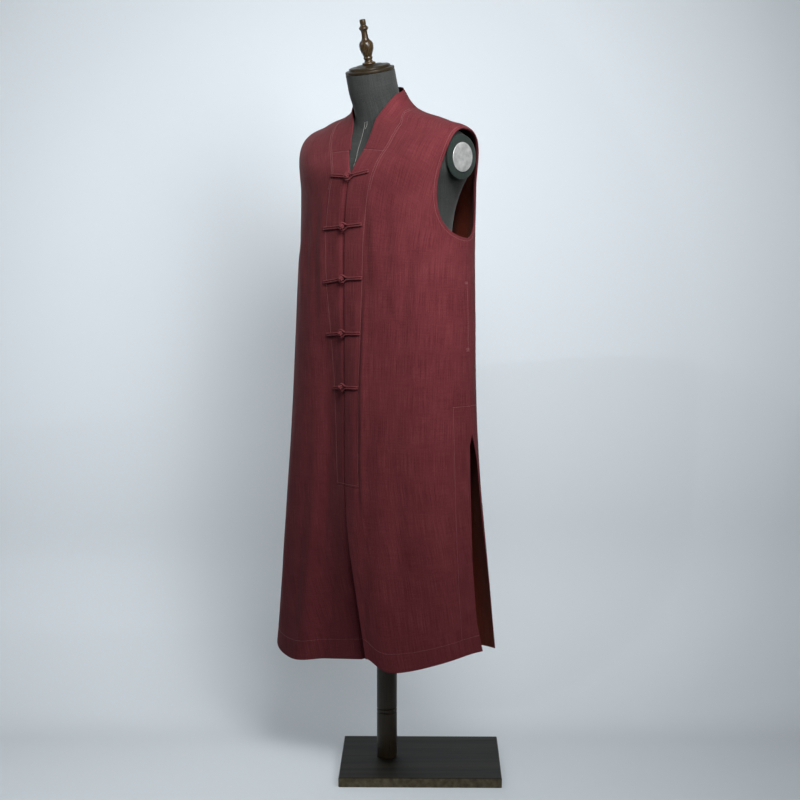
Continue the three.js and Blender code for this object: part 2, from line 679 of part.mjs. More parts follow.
function sideOval(side, sizes, start) {
  const geometry = oval(sizes.halfWidth, sizes.halfHeight, sizes.depth);
  geometry.rotateX(Math.PI / 2).rotateZ(Math.PI / 2);
  if (side < 0) geometry.rotateZ(Math.PI);
  const tilt = SHOULDER_TILT * side * FORM_SIDE;
  return geometry.translate(side * start, PLATE.y, PLATE.z + tilt);
}

// The two-stepped wooden cap and the finial that is screwed into it.
const CAP_PROFILE = [
  [0, 0.3], [48, 0.3], [49.5, 2], [49.5, 5], [47.5, 6.6], [43.5, 7], [42, 8.6], [42, 10.4],
  [39, 12.2], [29, 13.2], [26, 14.6], [16, 15.4], [0, 15.4],
];
const FINIAL_PROFILE = [
  [0, 15.7], [12, 15.7], [13.4, 17.6], [12, 19.8], [8.4, 21.2], [8, 25], [9.2, 28], [8.6, 32],
  [10.5, 37], [13, 43], [14.3, 50], [14, 56], [11.6, 61], [8.2, 64], [6.6, 69], [6.2, 80],
  [7.6, 83.5], [9.3, 86], [9.3, 88.5], [7.2, 91], [5.6, 93], [6.2, 97], [6, 103], [3.4, 105],
  [0, 105.5],
];

function onNeck(geometry) {
  geometry.rotateX(THREE.MathUtils.degToRad(NECK_LEAN));
  return geometry.translate(NECK_TOP.x, NECK_TOP.y, NECK_TOP.z);
}

function post() {
  const top = FORM[0].side_z - GAP - FLANGE.depth - GAP;
  const r = POST.radius;
  const profile = [[0, POST.foot], [r, POST.foot]];
  for (const z of POST.grooves) profile.push([r, z - 1.5], [r - 1.2, z], [r, z + 1.5]);
  profile.push([r, top], [0, top]);
  return turned(profile);
}

function flange() {
  const top = FORM[0].side_z - GAP;
  const foot = top - FLANGE.depth;
  return turned([[0, foot], [FLANGE.radius - 2, foot], [FLANGE.radius, foot + 2], [FLANGE.radius, top], [0, top]]);
}

function basePlate() {
  const w = BASE.width / 2 - BASE.bevel;
  const d = BASE.depth / 2 - BASE.bevel;
  const shape = new THREE.Shape();
  shape.moveTo(-w, -d).lineTo(w, -d).lineTo(w, d).lineTo(-w, d).closePath();
  const bevel = { bevelSize: BASE.bevel, bevelThickness: BASE.bevel, bevelSegments: 1 };
  const depth = BASE.thick - 2 * BASE.bevel;
  const geometry = new THREE.ExtrudeGeometry(shape, { depth, ...bevel });
  geometry.translate(0, 0, BASE.bevel).rotateZ(THREE.MathUtils.degToRad(BASE.turn));
  return geometry.translate(BASE.x, BASE.y, 0);
}

// ---------- assembly ----------
const maroon = () => new THREE.MeshStandardMaterial({ color: 0x6b3238, roughness: 0.9, metalness: 0 });
const linen = () => new THREE.MeshStandardMaterial({ color: 0x3c3f3e, roughness: 0.95, metalness: 0 });
const bronzed = () => new THREE.MeshStandardMaterial({ color: 0x5c4a38, roughness: 0.35, metalness: 0.1 });
const darkWood = () => new THREE.MeshStandardMaterial({ color: 0x2b2620, roughness: 0.45, metalness: 0 });
const silver = () => new THREE.MeshStandardMaterial({ color: 0xc9ccce, roughness: 0.3, metalness: 1 });

const group = new THREE.Group();

function add(name, geometry, material) {
  const mesh = new THREE.Mesh(geometry, material);
  mesh.name = name;
  group.add(mesh);
}

add('front_left', frontPanel(1), maroon());
add('front_right', frontPanel(-1), maroon());
add('back', backPanel(), maroon());
add('placket_left', placket(1), maroon());
add('placket_right', placket(-1), maroon());
add('collar_band', collarBand(), maroon());
add('armhole_facing_left', armholeFacing(1), maroon());
add('armhole_facing_right', armholeFacing(-1), maroon());
FROGS.forEach((frog, i) => {
  add(`frog_loop_${i + 1}`, frogLoop(frog), maroon());
  add(`frog_knot_${i + 1}`, frogKnot(frog), maroon());
});
add('form_body', formBody(), linen());
add('arm_plate_left', sideOval(1, PLATE, FORM_SIDE + GAP), linen());
add('arm_plate_right', sideOval(-1, PLATE, FORM_SIDE + GAP), linen());
add('arm_disc_left', sideOval(1, BADGE, FORM_SIDE + PLATE.depth + 2 * GAP), silver());
add('arm_disc_right', sideOval(-1, BADGE, FORM_SIDE + PLATE.depth + 2 * GAP), silver());
add('neck_cap', onNeck(turned(CAP_PROFILE, 28)), bronzed());
add('finial', onNeck(turned(FINIAL_PROFILE, 16)), bronzed());
add('post', post(), darkWood());
add('post_flange', flange(), darkWood());
add('base_plate', basePlate(), darkWood());

export default group;
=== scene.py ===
import math

import bmesh
import bpy
import numpy as np
from mathutils import Matrix, Vector


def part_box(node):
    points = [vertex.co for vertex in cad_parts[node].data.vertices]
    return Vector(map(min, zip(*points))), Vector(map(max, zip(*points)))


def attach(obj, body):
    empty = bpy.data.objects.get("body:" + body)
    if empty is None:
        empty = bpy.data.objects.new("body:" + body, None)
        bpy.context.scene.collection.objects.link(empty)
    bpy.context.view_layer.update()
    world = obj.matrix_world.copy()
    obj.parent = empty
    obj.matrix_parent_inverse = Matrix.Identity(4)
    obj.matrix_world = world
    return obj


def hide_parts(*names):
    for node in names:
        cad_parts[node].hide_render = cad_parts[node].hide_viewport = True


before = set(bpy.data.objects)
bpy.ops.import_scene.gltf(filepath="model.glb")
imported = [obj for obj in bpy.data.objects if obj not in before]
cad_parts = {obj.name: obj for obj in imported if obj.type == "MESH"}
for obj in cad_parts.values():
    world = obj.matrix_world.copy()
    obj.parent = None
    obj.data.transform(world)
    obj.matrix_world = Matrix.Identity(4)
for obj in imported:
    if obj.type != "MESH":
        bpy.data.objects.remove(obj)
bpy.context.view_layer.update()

# ----------------------------------------
# Camera. It stands off the wearer's left front, a little above the waist, with a long lens. The
# tones of the view are left as they come.
# ----------------------------------------
CAMERA_PLACE = Vector((2.7895, -2.7895, 1.212))
CAMERA_HEADING = math.radians(45 - 0.396)  # turned from straight along +Y towards -X
CAMERA_PITCH = math.radians(6.383)  # downwards

lens = bpy.data.cameras.new("camera")
lens.lens = 86.985
lens.sensor_width = 36
lens.clip_end = 60
camera = bpy.data.objects.new("camera", lens)
bpy.context.scene.collection.objects.link(camera)
camera.location = CAMERA_PLACE
view_dir = Vector((
    -math.sin(CAMERA_HEADING) * math.cos(CAMERA_PITCH),
    math.cos(CAMERA_HEADING) * math.cos(CAMERA_PITCH),
    -math.sin(CAMERA_PITCH),
))
camera.rotation_mode = "QUATERNION"
camera.rotation_quaternion = view_dir.to_track_quat("-Z", "Y")
bpy.context.scene.camera = camera
bpy.context.scene.view_settings.view_transform = "Standard"

# ----------------------------------------
# Studio. A pale paper sweep comes down close behind the stand and runs out over the floor. The
# key lamp is high on the right with a second beside it, and two more stand in front and on the
# left. Four others light only the paper.
# ----------------------------------------
SWEEP_BEHIND = 0.60  # from the post's axis to the hanging paper, away from the camera
SWEEP_BEND = 0.40
SWEEP_AHEAD, SWEEP_TOP, SWEEP_HALF = 9.0, 4.5, 7


def new_material(name, values):
    """A node material with its shader's own values, its tree and its Principled shader."""
    material = bpy.data.materials.new(name)
    material.use_nodes = True
    shader = material.node_tree.nodes["Principled BSDF"]
    for socket, value in values.items():
        shader.inputs[socket].default_value = value
    return material, material.node_tree, shader


def node(tree, kind, values=None, **settings):
    """A new node with its settings, and values on its inputs."""
    made = tree.nodes.new(kind)
    for name, value in settings.items():
        setattr(made, name, value)
    for socket, value in (values or {}).items():
        made.inputs[socket].default_value = value
    return made


def wire(tree, *links):
    """Links outputs to inputs: node, output, node, input."""
    for start, out, end, into in links:
        tree.links.new(start.outputs[out], end.inputs[into])


def tone_ramp(tree, *stops):
    """A colour ramp through (position, display colour) stops, in order."""
    ramp = node(tree, "ShaderNodeValToRGB")
    elements = ramp.color_ramp.elements
    for element, (position, tone) in zip((elements[0], elements[1]), (stops[0], stops[-1])):
        element.position = position
        element.color = shown(*tone)
    for position, tone in stops[1:-1]:
        elements.new(position).color = shown(*tone)
    return ramp


def shown(red, green, blue):
    """A display colour, each part 0 to 255, as the linear colour that a shader takes."""
    parts = [v / 255 for v in (red, green, blue)]
    return tuple(v / 12.92 if v <= 0.04045 else ((v + 0.055) / 1.055) ** 2.4 for v in parts) + (1.0,)


def raise_by(tree, shader, source, out, strength, distance):
    """Raises a surface by an output of its pattern."""
    bump = node(tree, "ShaderNodeBump", {"Strength": strength, "Distance": distance})
    wire(tree, (source, out, bump, "Height"), (bump, "Normal", shader, "Normal"))


def roughen_by(tree, shader, source, out, low, high):
    """Sets a surface's roughness between two values by an output of its pattern."""
    rough = node(tree, "ShaderNodeMapRange", {"To Min": low, "To Max": high})
    wire(tree, (source, out, rough, "Value"), (rough, "Result", shader, "Roughness"))


def into_scene(data, *materials):
    """Puts a finished mesh in the scene under its own name."""
    for material in materials:
        data.materials.append(material)
    made = bpy.data.objects.new(data.name, data)
    bpy.context.scene.collection.objects.link(made)
    return made


def paper_finish():
    """Pale matt paper that is clear from behind and throws little light back."""
    material, tree, shader = new_material(
        "paper sweep", {"Roughness": 0.9, "Base Color": shown(204, 212, 218)},
    )
    coords = node(tree, "ShaderNodeTexCoord")
    grain = node(tree, "ShaderNodeTexNoise", {"Scale": 320, "Detail": 3})
    raise_by(tree, shader, grain, "Fac", 0.04, 0.001)
    facing = node(tree, "ShaderNodeNewGeometry")
    clear = node(tree, "ShaderNodeBsdfTransparent")
    mix = node(tree, "ShaderNodeMixShader")
    # the paper throws little light back on the cloth, as under lamps with barn doors
    dull = node(tree, "ShaderNodeBsdfDiffuse", {"Color": (0.20, 0.21, 0.22, 1)})
    path = node(tree, "ShaderNodeLightPath")
    seen = node(tree, "ShaderNodeMixShader")
    wire(
        tree,
        (coords, "Object", grain, "Vector"),
        (path, "Is Diffuse Ray", seen, 0),
        (shader, 0, seen, 1),
        (dull, 0, seen, 2),
        (facing, "Backfacing", mix, 0),
        (seen, 0, mix, 1),
        (clear, 0, mix, 2),
        (mix, 0, tree.nodes["Material Output"], "Surface"),
    )
    return material


def paper_sweep():
    """The floor, the bend and the hanging paper as one strip, square to the camera."""
    ahead = Vector((view_dir.x, view_dir.y, 0)).normalized()
    right = Vector((-ahead.y, ahead.x, 0)) * -1
    bend = SWEEP_BEHIND - SWEEP_BEND
    section = [(-SWEEP_AHEAD, 0.0), (bend, 0.0)]
    for k in range(1, 17):
        turn = math.radians(90 * k / 16)
        section.append((bend + SWEEP_BEND * math.sin(turn), SWEEP_BEND * (1 - math.cos(turn))))
    section.append((SWEEP_BEHIND, SWEEP_TOP))
    mesh = bmesh.new()
    rows = [
        [
            mesh.verts.new(ahead * out + right * wide + Vector((0, 0, up)))
            for wide in (-SWEEP_HALF, SWEEP_HALF)
        ]
        for out, up in section
    ]
    for low, high in zip(rows, rows[1:]):
        mesh.faces.new((low[0], low[1], high[1], high[0]))
    data = bpy.data.meshes.new("paper_sweep")
    mesh.to_mesh(data)
    data.shade_smooth()
    sweep = into_scene(data, paper_finish())
    sweep.visible_shadow = False
    return sweep


def soft_lamp(name, place, aim, size, watts, spread, colour=(1, 1, 1)):
    """A round lamp at a place, turned towards its aim."""
    lamp = bpy.data.lights.new(name, "AREA")
    lamp.spread = math.radians(spread)
    lamp.shape = "DISK"
    lamp.size = size
    lamp.energy = watts
    lamp.color = colour
    stand = bpy.data.objects.new(name, lamp)
    stand.location = place
    stand.rotation_mode = "QUATERNION"
    stand.rotation_quaternion = (Vector(aim) - Vector(place)).to_track_quat("-Z", "Y")
    bpy.context.scene.collection.objects.link(stand)
    return stand


paper = paper_sweep()
soft_lamp("key lamp", (1.316, -0.855, 2.40), (0, 0, 1.42), 1.1, 7.4, 72)
soft_lamp("side lamp", (2.078, -0.557, 1.657), (0, 0, 1.2), 1.1, 4.1, 90)
soft_lamp("front lamp", (-0.936, -1.498, 2.24), (0, 0, 1.3), 1.1, 1.2, 80, (0.98, 0.99, 1.0))
soft_lamp("left lamp", (-2.022, 0.736, 1.657), (0, 0, 1.2), 1.1, 4.5, 90, (0.98, 0.99, 1.0))
on_paper = bpy.data.collections.new("paper only")
on_paper.objects.link(paper)
for number, (place, aim, watts) in enumerate((
    ((-0.009, -1.273, 1.0), (-0.85, -0.277, 0.2), 11.0),
    ((1.273, -0.009, 1.0), (0.289, 0.847, 0.2), 4.0),
    ((1.695, -0.295, 1.4), (0.218, 0.776, 1.0), 0.8),
    ((0.983, -0.997, 1.7), (0.18, -0.18, 0.0), 6.0),
), 1):
    lamp = soft_lamp(f"paper lamp {number}", place, aim, 1.6, watts, 180, (0.98, 0.995, 1.0))
    lamp.light_linking.receiver_collection = on_paper
    lamp.light_linking.blocker_collection = on_paper
world = bpy.data.worlds.new("room")
world.use_nodes = True
room = world.node_tree.nodes["Background"]
room.inputs["Color"].default_value = (0.90, 0.95, 1.0, 1)
ROOM_LIGHT, ROOM_SEEN = 0.02, 0.62  # what the room adds to the lamps, and how bright it looks
room_path = node(world.node_tree, "ShaderNodeLightPath")
room_light = node(world.node_tree, "ShaderNodeMapRange", {"To Min": ROOM_LIGHT, "To Max": ROOM_SEEN})
wire(
    world.node_tree,
    (room_path, "Is Camera Ray", room_light, "Value"),
    (room_light, "Result", room, "Strength"),
)
bpy.context.scene.world = world

# ----------------------------------------
# Base plate. A square slab of dark stained board with a fine rounded edge, worn paler on its
# upright sides.
# ----------------------------------------
def new_group(name, kind, inputs, outputs):
    """A node group with named inputs and outputs, and its two end nodes. A number as an input
    stands for a float of that value."""
    group = bpy.data.node_groups.new(name, kind)
    for socket, value in inputs.items():
        made = value if isinstance(value, str) else "Float"
        made = group.interface.new_socket(socket, in_out="INPUT", socket_type=f"NodeSocket{made}")
        if not isinstance(value, str):
            made.default_value = value
    for socket, made in outputs.items():
        group.interface.new_socket(socket, in_out="OUTPUT", socket_type=f"NodeSocket{made}")
    return group, node(group, "NodeGroupInput"), node(group, "NodeGroupOutput")


def grain_group():
    """Long fibres of stained wood, drawn out by the vector that they are given."""
    group, start, end = new_group(
        "wood fibres", "ShaderNodeTree",
        {"Vector": "Vector", "Coarse": 60.0, "Fine": 420.0}, {"Fibres": "Float", "Height": "Float"},
    )
    coarse = node(group, "ShaderNodeTexNoise", {"Detail": 4, "Distortion": 0.6})
    fine = node(group, "ShaderNodeTexNoise", {"Detail": 5})
    mix = node(group, "ShaderNodeMath", {1: 0.65}, operation="MULTIPLY_ADD")
    low = node(group, "ShaderNodeMath", {1: 0.35}, operation="MULTIPLY")
    wire(
        group,
        (start, "Vector", coarse, "Vector"),
        (start, "Coarse", coarse, "Scale"),
        (start, "Vector", fine, "Vector"),
        (start, "Fine", fine, "Scale"),
        (fine, "Fac", low, 0),
        (coarse, "Fac", mix, 0),
        (low, 0, mix, 2),
        (mix, 0, end, "Fibres"),
        (fine, "Fac", end, "Height"),
    )
    return group


WOOD_FIBRES = grain_group()


def stained_wood(name, dark, pale, wear_and_highlight_tone, stretch, gloss=0.38, turn=(0, 0, 0), coat=0.25, shine=0.3,
                 edge_wear_and_highlight=1.0, worn_sides=0.0):
    """Stained wood: fibres between two tones, paler on its sharp edges for wear and a painted highlight,
    and worn paler on its upright sides.
    """
    material, tree, shader = new_material(
        name, {"Coat Weight": coat, "Coat Roughness": 0.22, "Specular IOR Level": shine},
    )
    coords = node(tree, "ShaderNodeTexCoord")
    # turned first, then drawn out along the fibres
    lay = node(
        tree, "ShaderNodeMapping", {"Scale": [1 / s for s in stretch], "Rotation": turn},
        vector_type="TEXTURE",
    )
    fibres = node(tree, "ShaderNodeGroup", node_tree=WOOD_FIBRES)
    tones = tone_ramp(tree, (0.34, dark), (0.68, pale))
    edge = node(tree, "ShaderNodeNewGeometry")
    # sharp edges painted paler: partly wear, partly a painted highlight along rims and ridges
    edge_ramp = node(
        tree, "ShaderNodeMapRange", {"From Min": 0.53, "From Max": 0.66, "To Max": edge_wear_and_highlight},
    )
    upright = node(tree, "ShaderNodeSeparateXYZ")
    # nothing on top, and full on faces that stand upright
    sides = node(tree, "ShaderNodeMath", {1: -worn_sides, 2: worn_sides}, operation="MULTIPLY_ADD")
    either = node(tree, "ShaderNodeMath", operation="MAXIMUM")
    patchy = node(tree, "ShaderNodeTexNoise", {"Scale": 90, "Detail": 6})
    wear_and_highlight_mask = node(tree, "ShaderNodeMath", operation="MULTIPLY")
    wear_and_highlight = node(tree, "ShaderNodeMix", {"B": shown(*wear_and_highlight_tone)}, data_type="RGBA")
    roughen_by(tree, shader, fibres, "Height", gloss - 0.07, gloss + 0.14)
    raise_by(tree, shader, fibres, "Height", 0.18, 0.0004)
    wire(
        tree,
        (coords, "Object", lay, "Vector"),
        (lay, "Vector", fibres, "Vector"),
        (fibres, "Fibres", tones, "Fac"),
        (edge, "Pointiness", edge_ramp, "Value"),
        (coords, "Object", patchy, "Vector"),
        (edge, "Normal", upright, 0),
        (upright, 2, sides, 0),
        (edge_ramp, "Result", either, 0),
        (sides, 0, either, 1),
        (either, 0, wear_and_highlight_mask, 0),
        (patchy, "Fac", wear_and_highlight_mask, 1),
        (wear_and_highlight_mask, 0, wear_and_highlight, "Factor"),
        (tones, "Color", wear_and_highlight, "A"),
        (wear_and_highlight, "Result", shader, "Base Color"),
    )
    return material


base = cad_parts["base_plate"]
base.data.materials.clear()
base.data.materials.append(stained_wood(
    "base board", (11, 10, 7), (45, 42, 32), (158, 146, 120), (1.0, 0.04, 1.0),
    gloss=0.5, turn=(0, 0, math.radians(-43.75)), coat=0.0, shine=0.1, edge_wear_and_highlight=0.0, worn_sides=0.9,
))

# ----------------------------------------
# Post and its flange. A turned hardwood post with two scored rings near its foot, screwed up
# into a round flange under the form.
# ----------------------------------------
def add_piece(data, materials, crease=None):
    """Puts a finished mesh in the scene as a smooth piece that rides with the stand."""
    data.shade_smooth()
    if crease:
        data.set_sharp_from_angle(angle=math.radians(crease))
    piece = into_scene(data, *materials)
    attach(piece, "root")
    return piece


def full_turn(share, sides):
    """Unit points round a circle, or its middle alone where the share is nothing."""
    if share < 1e-6:
        return [(0, 0)]
    turns = [2 * math.pi * k / sides for k in range(sides)]
    return [(math.cos(turn), math.sin(turn)) for turn in turns]


def ringed(rings, sides):
    """A mesh over rings of points, each of them a full turn or one point on the axis."""
    mesh = bmesh.new()
    loops = [[mesh.verts.new(point) for point in ring] for ring in rings]
    for low, high in zip(loops, loops[1:]):
        for k in range(sides):
            n = (k + 1) % sides
            corners = [low[k % len(low)], low[n % len(low)], high[n % len(high)], high[k % len(high)]]
            corners = list(dict.fromkeys(corners))
            if len(corners) > 2:
                mesh.faces.new(corners)
    bmesh.ops.recalc_face_normals(mesh, faces=mesh.faces)
    return mesh


def mesh_data(name, mesh):
    """Turns a mesh under construction into a finished one."""
    data = bpy.data.meshes.new(name)
    mesh.to_mesh(data)
    mesh.free()
    return data


def turned(name, profile, material, sides=72, lean=0.0, foot=(0, 0, 0)):
    """A lathe piece: (radius, height) from the axis at its foot to the axis at its top."""
    place = Matrix.Translation(foot) @ Matrix.Rotation(lean, 4, "X")
    rings = [
        [place @ Vector((radius * x, radius * y, height)) for x, y in full_turn(radius, sides)]
        for radius, height in profile
    ]
    return add_piece(mesh_data(name, ringed(rings, sides)), [material], crease=35)


EASE_STEPS = 4


def eased(profile):
    """The same profile with every stretch drawn as a smooth curve through its points."""
    points = [np.array(p, float) for p in profile]
    line = [points[0] * 2 - points[1], *points, points[-1] * 2 - points[-2]]
    curve = []
    for a, b, c, d in zip(line, line[1:], line[2:], line[3:]):
        for k in range(EASE_STEPS):
            t = k / EASE_STEPS
            value = b + 0.5 * t * (c - a + t * (2 * a - 5 * b + 4 * c - d + t * (3 * (b - c) + d - a)))
            curve.append((max(float(value[0]), 0.0), float(value[1])))
    return curve + [profile[-1]]


post_low, post_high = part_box("post")
flange_low, flange_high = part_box("post_flange")
POST_RADIUS = 0.021
SCORES = (0.116, 0.124)

# its sharp edges go paler: partly wear, partly a painted highlight
post_wood = stained_wood(
    "post wood", (27, 21, 12), (62, 50, 33), (96, 80, 54), (1.0, 1.0, 0.06), gloss=0.4, coat=0.08,
)
post_profile = [(0, post_low.z), (POST_RADIUS, post_low.z)]
for score in SCORES:
    post_profile += [(POST_RADIUS, score - 0.0016), (POST_RADIUS - 0.0009, score - 0.0006),
                     (POST_RADIUS - 0.0012, score), (POST_RADIUS - 0.0009, score + 0.0006),
                     (POST_RADIUS, score + 0.0016)]
post_profile += [
    (POST_RADIUS, post_high.z - 0.001), (POST_RADIUS - 0.001, post_high.z), (0, post_high.z),
]
post = turned("post_turned", post_profile, post_wood)
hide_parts("post")

flange_out = flange_high.x
flange = turned("flange_turned", [
    (0, flange_low.z), (flange_out - 0.0035, flange_low.z), (flange_out - 0.001, flange_low.z + 0.0009),
    (flange_out, flange_low.z + 0.003), (flange_out, flange_high.z - 0.001),
    (flange_out - 0.001, flange_high.z), (0, flange_high.z),
], post_wood)
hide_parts("post_flange")

# ----------------------------------------
# Dress form. A limbless padded body of moulded board under a tight cover of dark grey linen,
# sewn down the centre front of its neck with a pale thread.
# ----------------------------------------
MM = 0.001
SHOULDER_TILT = 0.019  # the left shoulder sits a little higher
TILT_FROM, TILT_OVER = 850, 350  # the tilt grows in from here, over this height
FORM_SIDE = 204.0  # the arm ends are cut flat here, millimetres from the middle

# Level curves from the foot to the neck's top, in millimetres. Columns: height in front, in
# front at 45 degrees, at the side, behind at 45 degrees, behind; half the width, the depths in
# front and behind of the middle, the middle, squareness in front and behind, and a power.
FORM = np.array([
    [640, 640, 640, 640, 640, 156, 106, 80, 0, 2.2, 2.2, 2],
    [700, 700, 700, 700, 700, 164, 110, 84, 0, 2.2, 2.2, 2],
    [890, 890, 890, 890, 890, 142, 101, 86, 0, 2.1, 2.1, 2],
    [1030, 1030, 1030, 1030, 1030, 148, 109, 101, 0, 2.1, 2.1, 2],
    [1110, 1110, 1110, 1110, 1110, 150, 115, 104, 0, 2.1, 2.1, 2],
    [1160, 1160, 1162, 1162, 1162, 162, 117, 111, 0, 2.0, 2.0, 2],
    [1190, 1195, 1207, 1200, 1196, 182, 116, 115, 0, 2.0, 2.0, 2],
    [1212, 1222, 1242, 1232, 1224, 206, 114, 116, 0, 2.0, 2.0, 2],
    [1228, 1248, 1280, 1262, 1250, 208, 110, 115, 0, 2.0, 2.0, 2],
    [1242, 1268, 1302, 1286, 1270, 202, 102, 110, 0, 2.0, 2.0, 2],
    [1270, 1297, 1328, 1319, 1307, 148, 83, 92, -2, 2.0, 2.0, 2],
    [1308, 1330, 1350, 1353, 1348, 72, 57, 56, -8, 2.0, 2.0, 2],
    [1342, 1356, 1371, 1377, 1380, 52, 44, 43, -23, 2.0, 2.0, 1.5],
    [1388, 1393, 1400, 1406, 1410, 49.5, 48.5, 48, -36.5, 2.0, 2.0, 1],
    [1423.2, 1428.4, 1433.5, 1438.6, 1443.8, 49, 49, 49, -45.9, 2.0, 2.0, 1],
])


def read(rows, place):
    """A table read between its rows, with a smooth curve through every column."""
    place = np.asarray(place, float)
    i = np.clip(np.floor(np.nan_to_num(place)).astype(int), 0, len(rows) - 2)
    t = (place - i)[..., None]
    ends = np.vstack([2 * rows[0] - rows[1], rows, 2 * rows[-1] - rows[-2]])
    a, b, c, d = (ends[i + k] for k in range(4))
    slope_b, slope_c = (c - a) / 2, (d - b) / 2
    turn = 3 * (c - b) - 2 * slope_b - slope_c
    rest = 2 * (b - c) + slope_b + slope_c
    return b + t * (slope_b + t * (turn + t * rest))


def on_body(rows, angle, level):
    """Points of a body given by level curves. Angle 0 is in front, 90 the wearer's left."""
    angle, level = np.broadcast_arrays(np.asarray(angle, float), np.asarray(level, float))
    column = np.moveaxis(read(rows, level), -1, 0)
    side_z, half, middle = column[2], column[5], column[8]
    side, ahead = np.sin(np.radians(angle)), np.cos(np.radians(angle))
    end, quarter, depth, square = (
        np.where(ahead > 0, column[f], column[b]) for f, b in ((0, 4), (1, 3), (6, 7), (9, 10))
    )
    share = (np.abs(side) / half) ** square + (np.abs(ahead) / depth) ** square
    radius = share ** (-1 / square)
    power = column[11] if len(column) > 11 else 2.0
    q = (radius * np.abs(ahead) / depth) ** power
    z = side_z + (end - side_z) * q + 4 * (quarter - (end + side_z) / 2) * q * (1 - q)
    return np.stack([radius * side, middle - radius * ahead, z], -1)


TURN_STEP, LEVEL_STEP = 0.05, 0.002  # steps that slopes are taken over, degrees and levels


def slopes(surface, angle, level):
    """How a surface runs over two steps of angle and over two steps of level."""
    across = surface(angle + TURN_STEP, level) - surface(angle - TURN_STEP, level)
    up = surface(angle, level + LEVEL_STEP) - surface(angle, level - LEVEL_STEP)
    return across, up


def outward(surface, angle, level):
    """The unit vector that points out of a surface."""
    out = np.cross(*slopes(surface, angle, level))
    return out / np.linalg.norm(out, axis=-1, keepdims=True)


def smooth(share):
    """Nothing to one, without a corner at either end."""
    t = np.clip(share, 0, 1)
    return t * t * (3 - 2 * t)


def tilt_lift(point):
    """How far the tilt of the shoulders lifts or lowers a point."""
    return SHOULDER_TILT * point[..., 0] * smooth((point[..., 2] - TILT_FROM) / TILT_OVER)


def form_surface(angle, level):
    point = on_body(FORM, angle, level)
    # the tilt dies out again up the neck
    point[..., 2] += tilt_lift(point) * smooth((1420 - point[..., 2]) / 80)
    point[..., 0] = np.clip(point[..., 0], -FORM_SIDE, FORM_SIDE)
    return point


def weave_group():
    """Plain woven cloth on a piece's own cloth coordinates, in metres along its threads."""
    group, start, end = new_group(
        "plain weave", "ShaderNodeTree",
        {"Cloth": "Vector", "Threads": 1400.0, "Slub": 1.0, "Seed": 0.0},
        {"Threads": "Float", "Streaks": "Float", "Mottle": "Float", "Height": "Float"},
    )

    def reckon(operation, *parts):
        """A sum over numbers and outputs."""
        made = node(group, "ShaderNodeMath", operation=operation)
        for socket, part in zip(made.inputs, parts):
            if isinstance(part, (int, float)):
                socket.default_value = part
            else:
                group.links.new(part, socket)
        return made.outputs[0]

    # warp and weft pass over each other: the product of two waves
    parts = node(group, "ShaderNodeSeparateXYZ")
    wander = node(group, "ShaderNodeTexNoise", {"Scale": 140})
    wire(group, (start, "Cloth", parts, 0), (start, "Cloth", wander, "Vector"))
    shift = reckon("MULTIPLY", wander.outputs["Fac"], 5.0)
    waves = []
    for way in (0, 1):
        count = reckon("ADD", reckon("MULTIPLY", parts.outputs[way], start.outputs["Threads"]), shift)
        waves.append(reckon("SINE", reckon("MULTIPLY", count, math.pi), 0))
    threads = reckon("MULTIPLY_ADD", reckon("MULTIPLY", *waves), 0.5, 0.5)
    # slubs: thick places run along the warp, and shorter ones along the weft
    slubs = []
    for scale in ((640, 16, 1), (24, 640, 1), (460, 330, 1)):
        lay = node(group, "ShaderNodeMapping", {"Scale": scale})
        wire(group, (start, "Cloth", lay, "Vector"), (start, "Seed", lay, "Location"))
        noise = node(group, "ShaderNodeTexNoise", {"Scale": 1.0, "Detail": 3})
        wire(group, (lay, "Vector", noise, "Vector"))
        slubs.append(noise.outputs["Fac"])
    weft_and_neps = reckon("ADD", reckon("MULTIPLY", slubs[1], 0.22), reckon("MULTIPLY", slubs[2], 0.26))
    streaks = reckon("ADD", reckon("MULTIPLY", slubs[0], 0.52), weft_and_neps)
    mottle = node(group, "ShaderNodeTexNoise", {"Scale": 16, "Detail": 6, "Roughness": 0.62})
    wire(group, (start, "Cloth", mottle, "Vector"))
    raised = reckon("MULTIPLY", streaks, start.outputs["Slub"])
    height = reckon("ADD", reckon("MULTIPLY", threads, 0.6), raised)
    for socket, value in (("Threads", threads), ("Streaks", streaks), ("Mottle", mottle.outputs["Fac"]),
                          ("Height", height)):
        group.links.new(value, end.inputs[socket])
    return group


PLAIN_WEAVE = weave_group()


def woven(name, deep, body, raised, threads=1400.0, slub=0.8, sheen=0.25, tint=(1, 1, 1), rough=0.86,
          bump_height=0.00022, streak=0.75):
    """Cloth with threads, slubs and mottled dye between three tones."""
    material, tree, shader = new_material(name, {
        "Sheen Weight": sheen, "Sheen Roughness": 0.5, "Sheen Tint": (*tint, 1),
        "Specular IOR Level": 0.12,
    })
    coords = node(tree, "ShaderNodeUVMap", uv_map="cloth")
    weave = node(tree, "ShaderNodeGroup", {"Threads": threads, "Slub": slub}, node_tree=PLAIN_WEAVE)
    tones = tone_ramp(tree, (0.30, deep), (0.5, body), (0.72, raised))
    blend = node(tree, "ShaderNodeMath", {1: 0.20}, operation="MULTIPLY_ADD")
    spread = node(tree, "ShaderNodeMath", {1: streak}, operation="MULTIPLY_ADD")
    # keeps the body tone in the middle
    patch = node(tree, "ShaderNodeMath", {1: 0.24, 2: 0.28 - streak / 2}, operation="MULTIPLY_ADD")
    roughen_by(tree, shader, weave, "Threads", rough + 0.06, rough - 0.08)
    raise_by(tree, shader, weave, "Height", 0.55, bump_height)
    wire(
        tree,
        (coords, "UV", weave, "Cloth"),
        (weave, "Mottle", patch, 0),
        (weave, "Streaks", spread, 0),
        (patch, 0, spread, 2),
        (weave, "Threads", blend, 0),
        (spread, 0, blend, 2),
        (blend, 0, tones, "Fac"),
        (tones, "Color", shader, "Base Color"),
    )
    return material


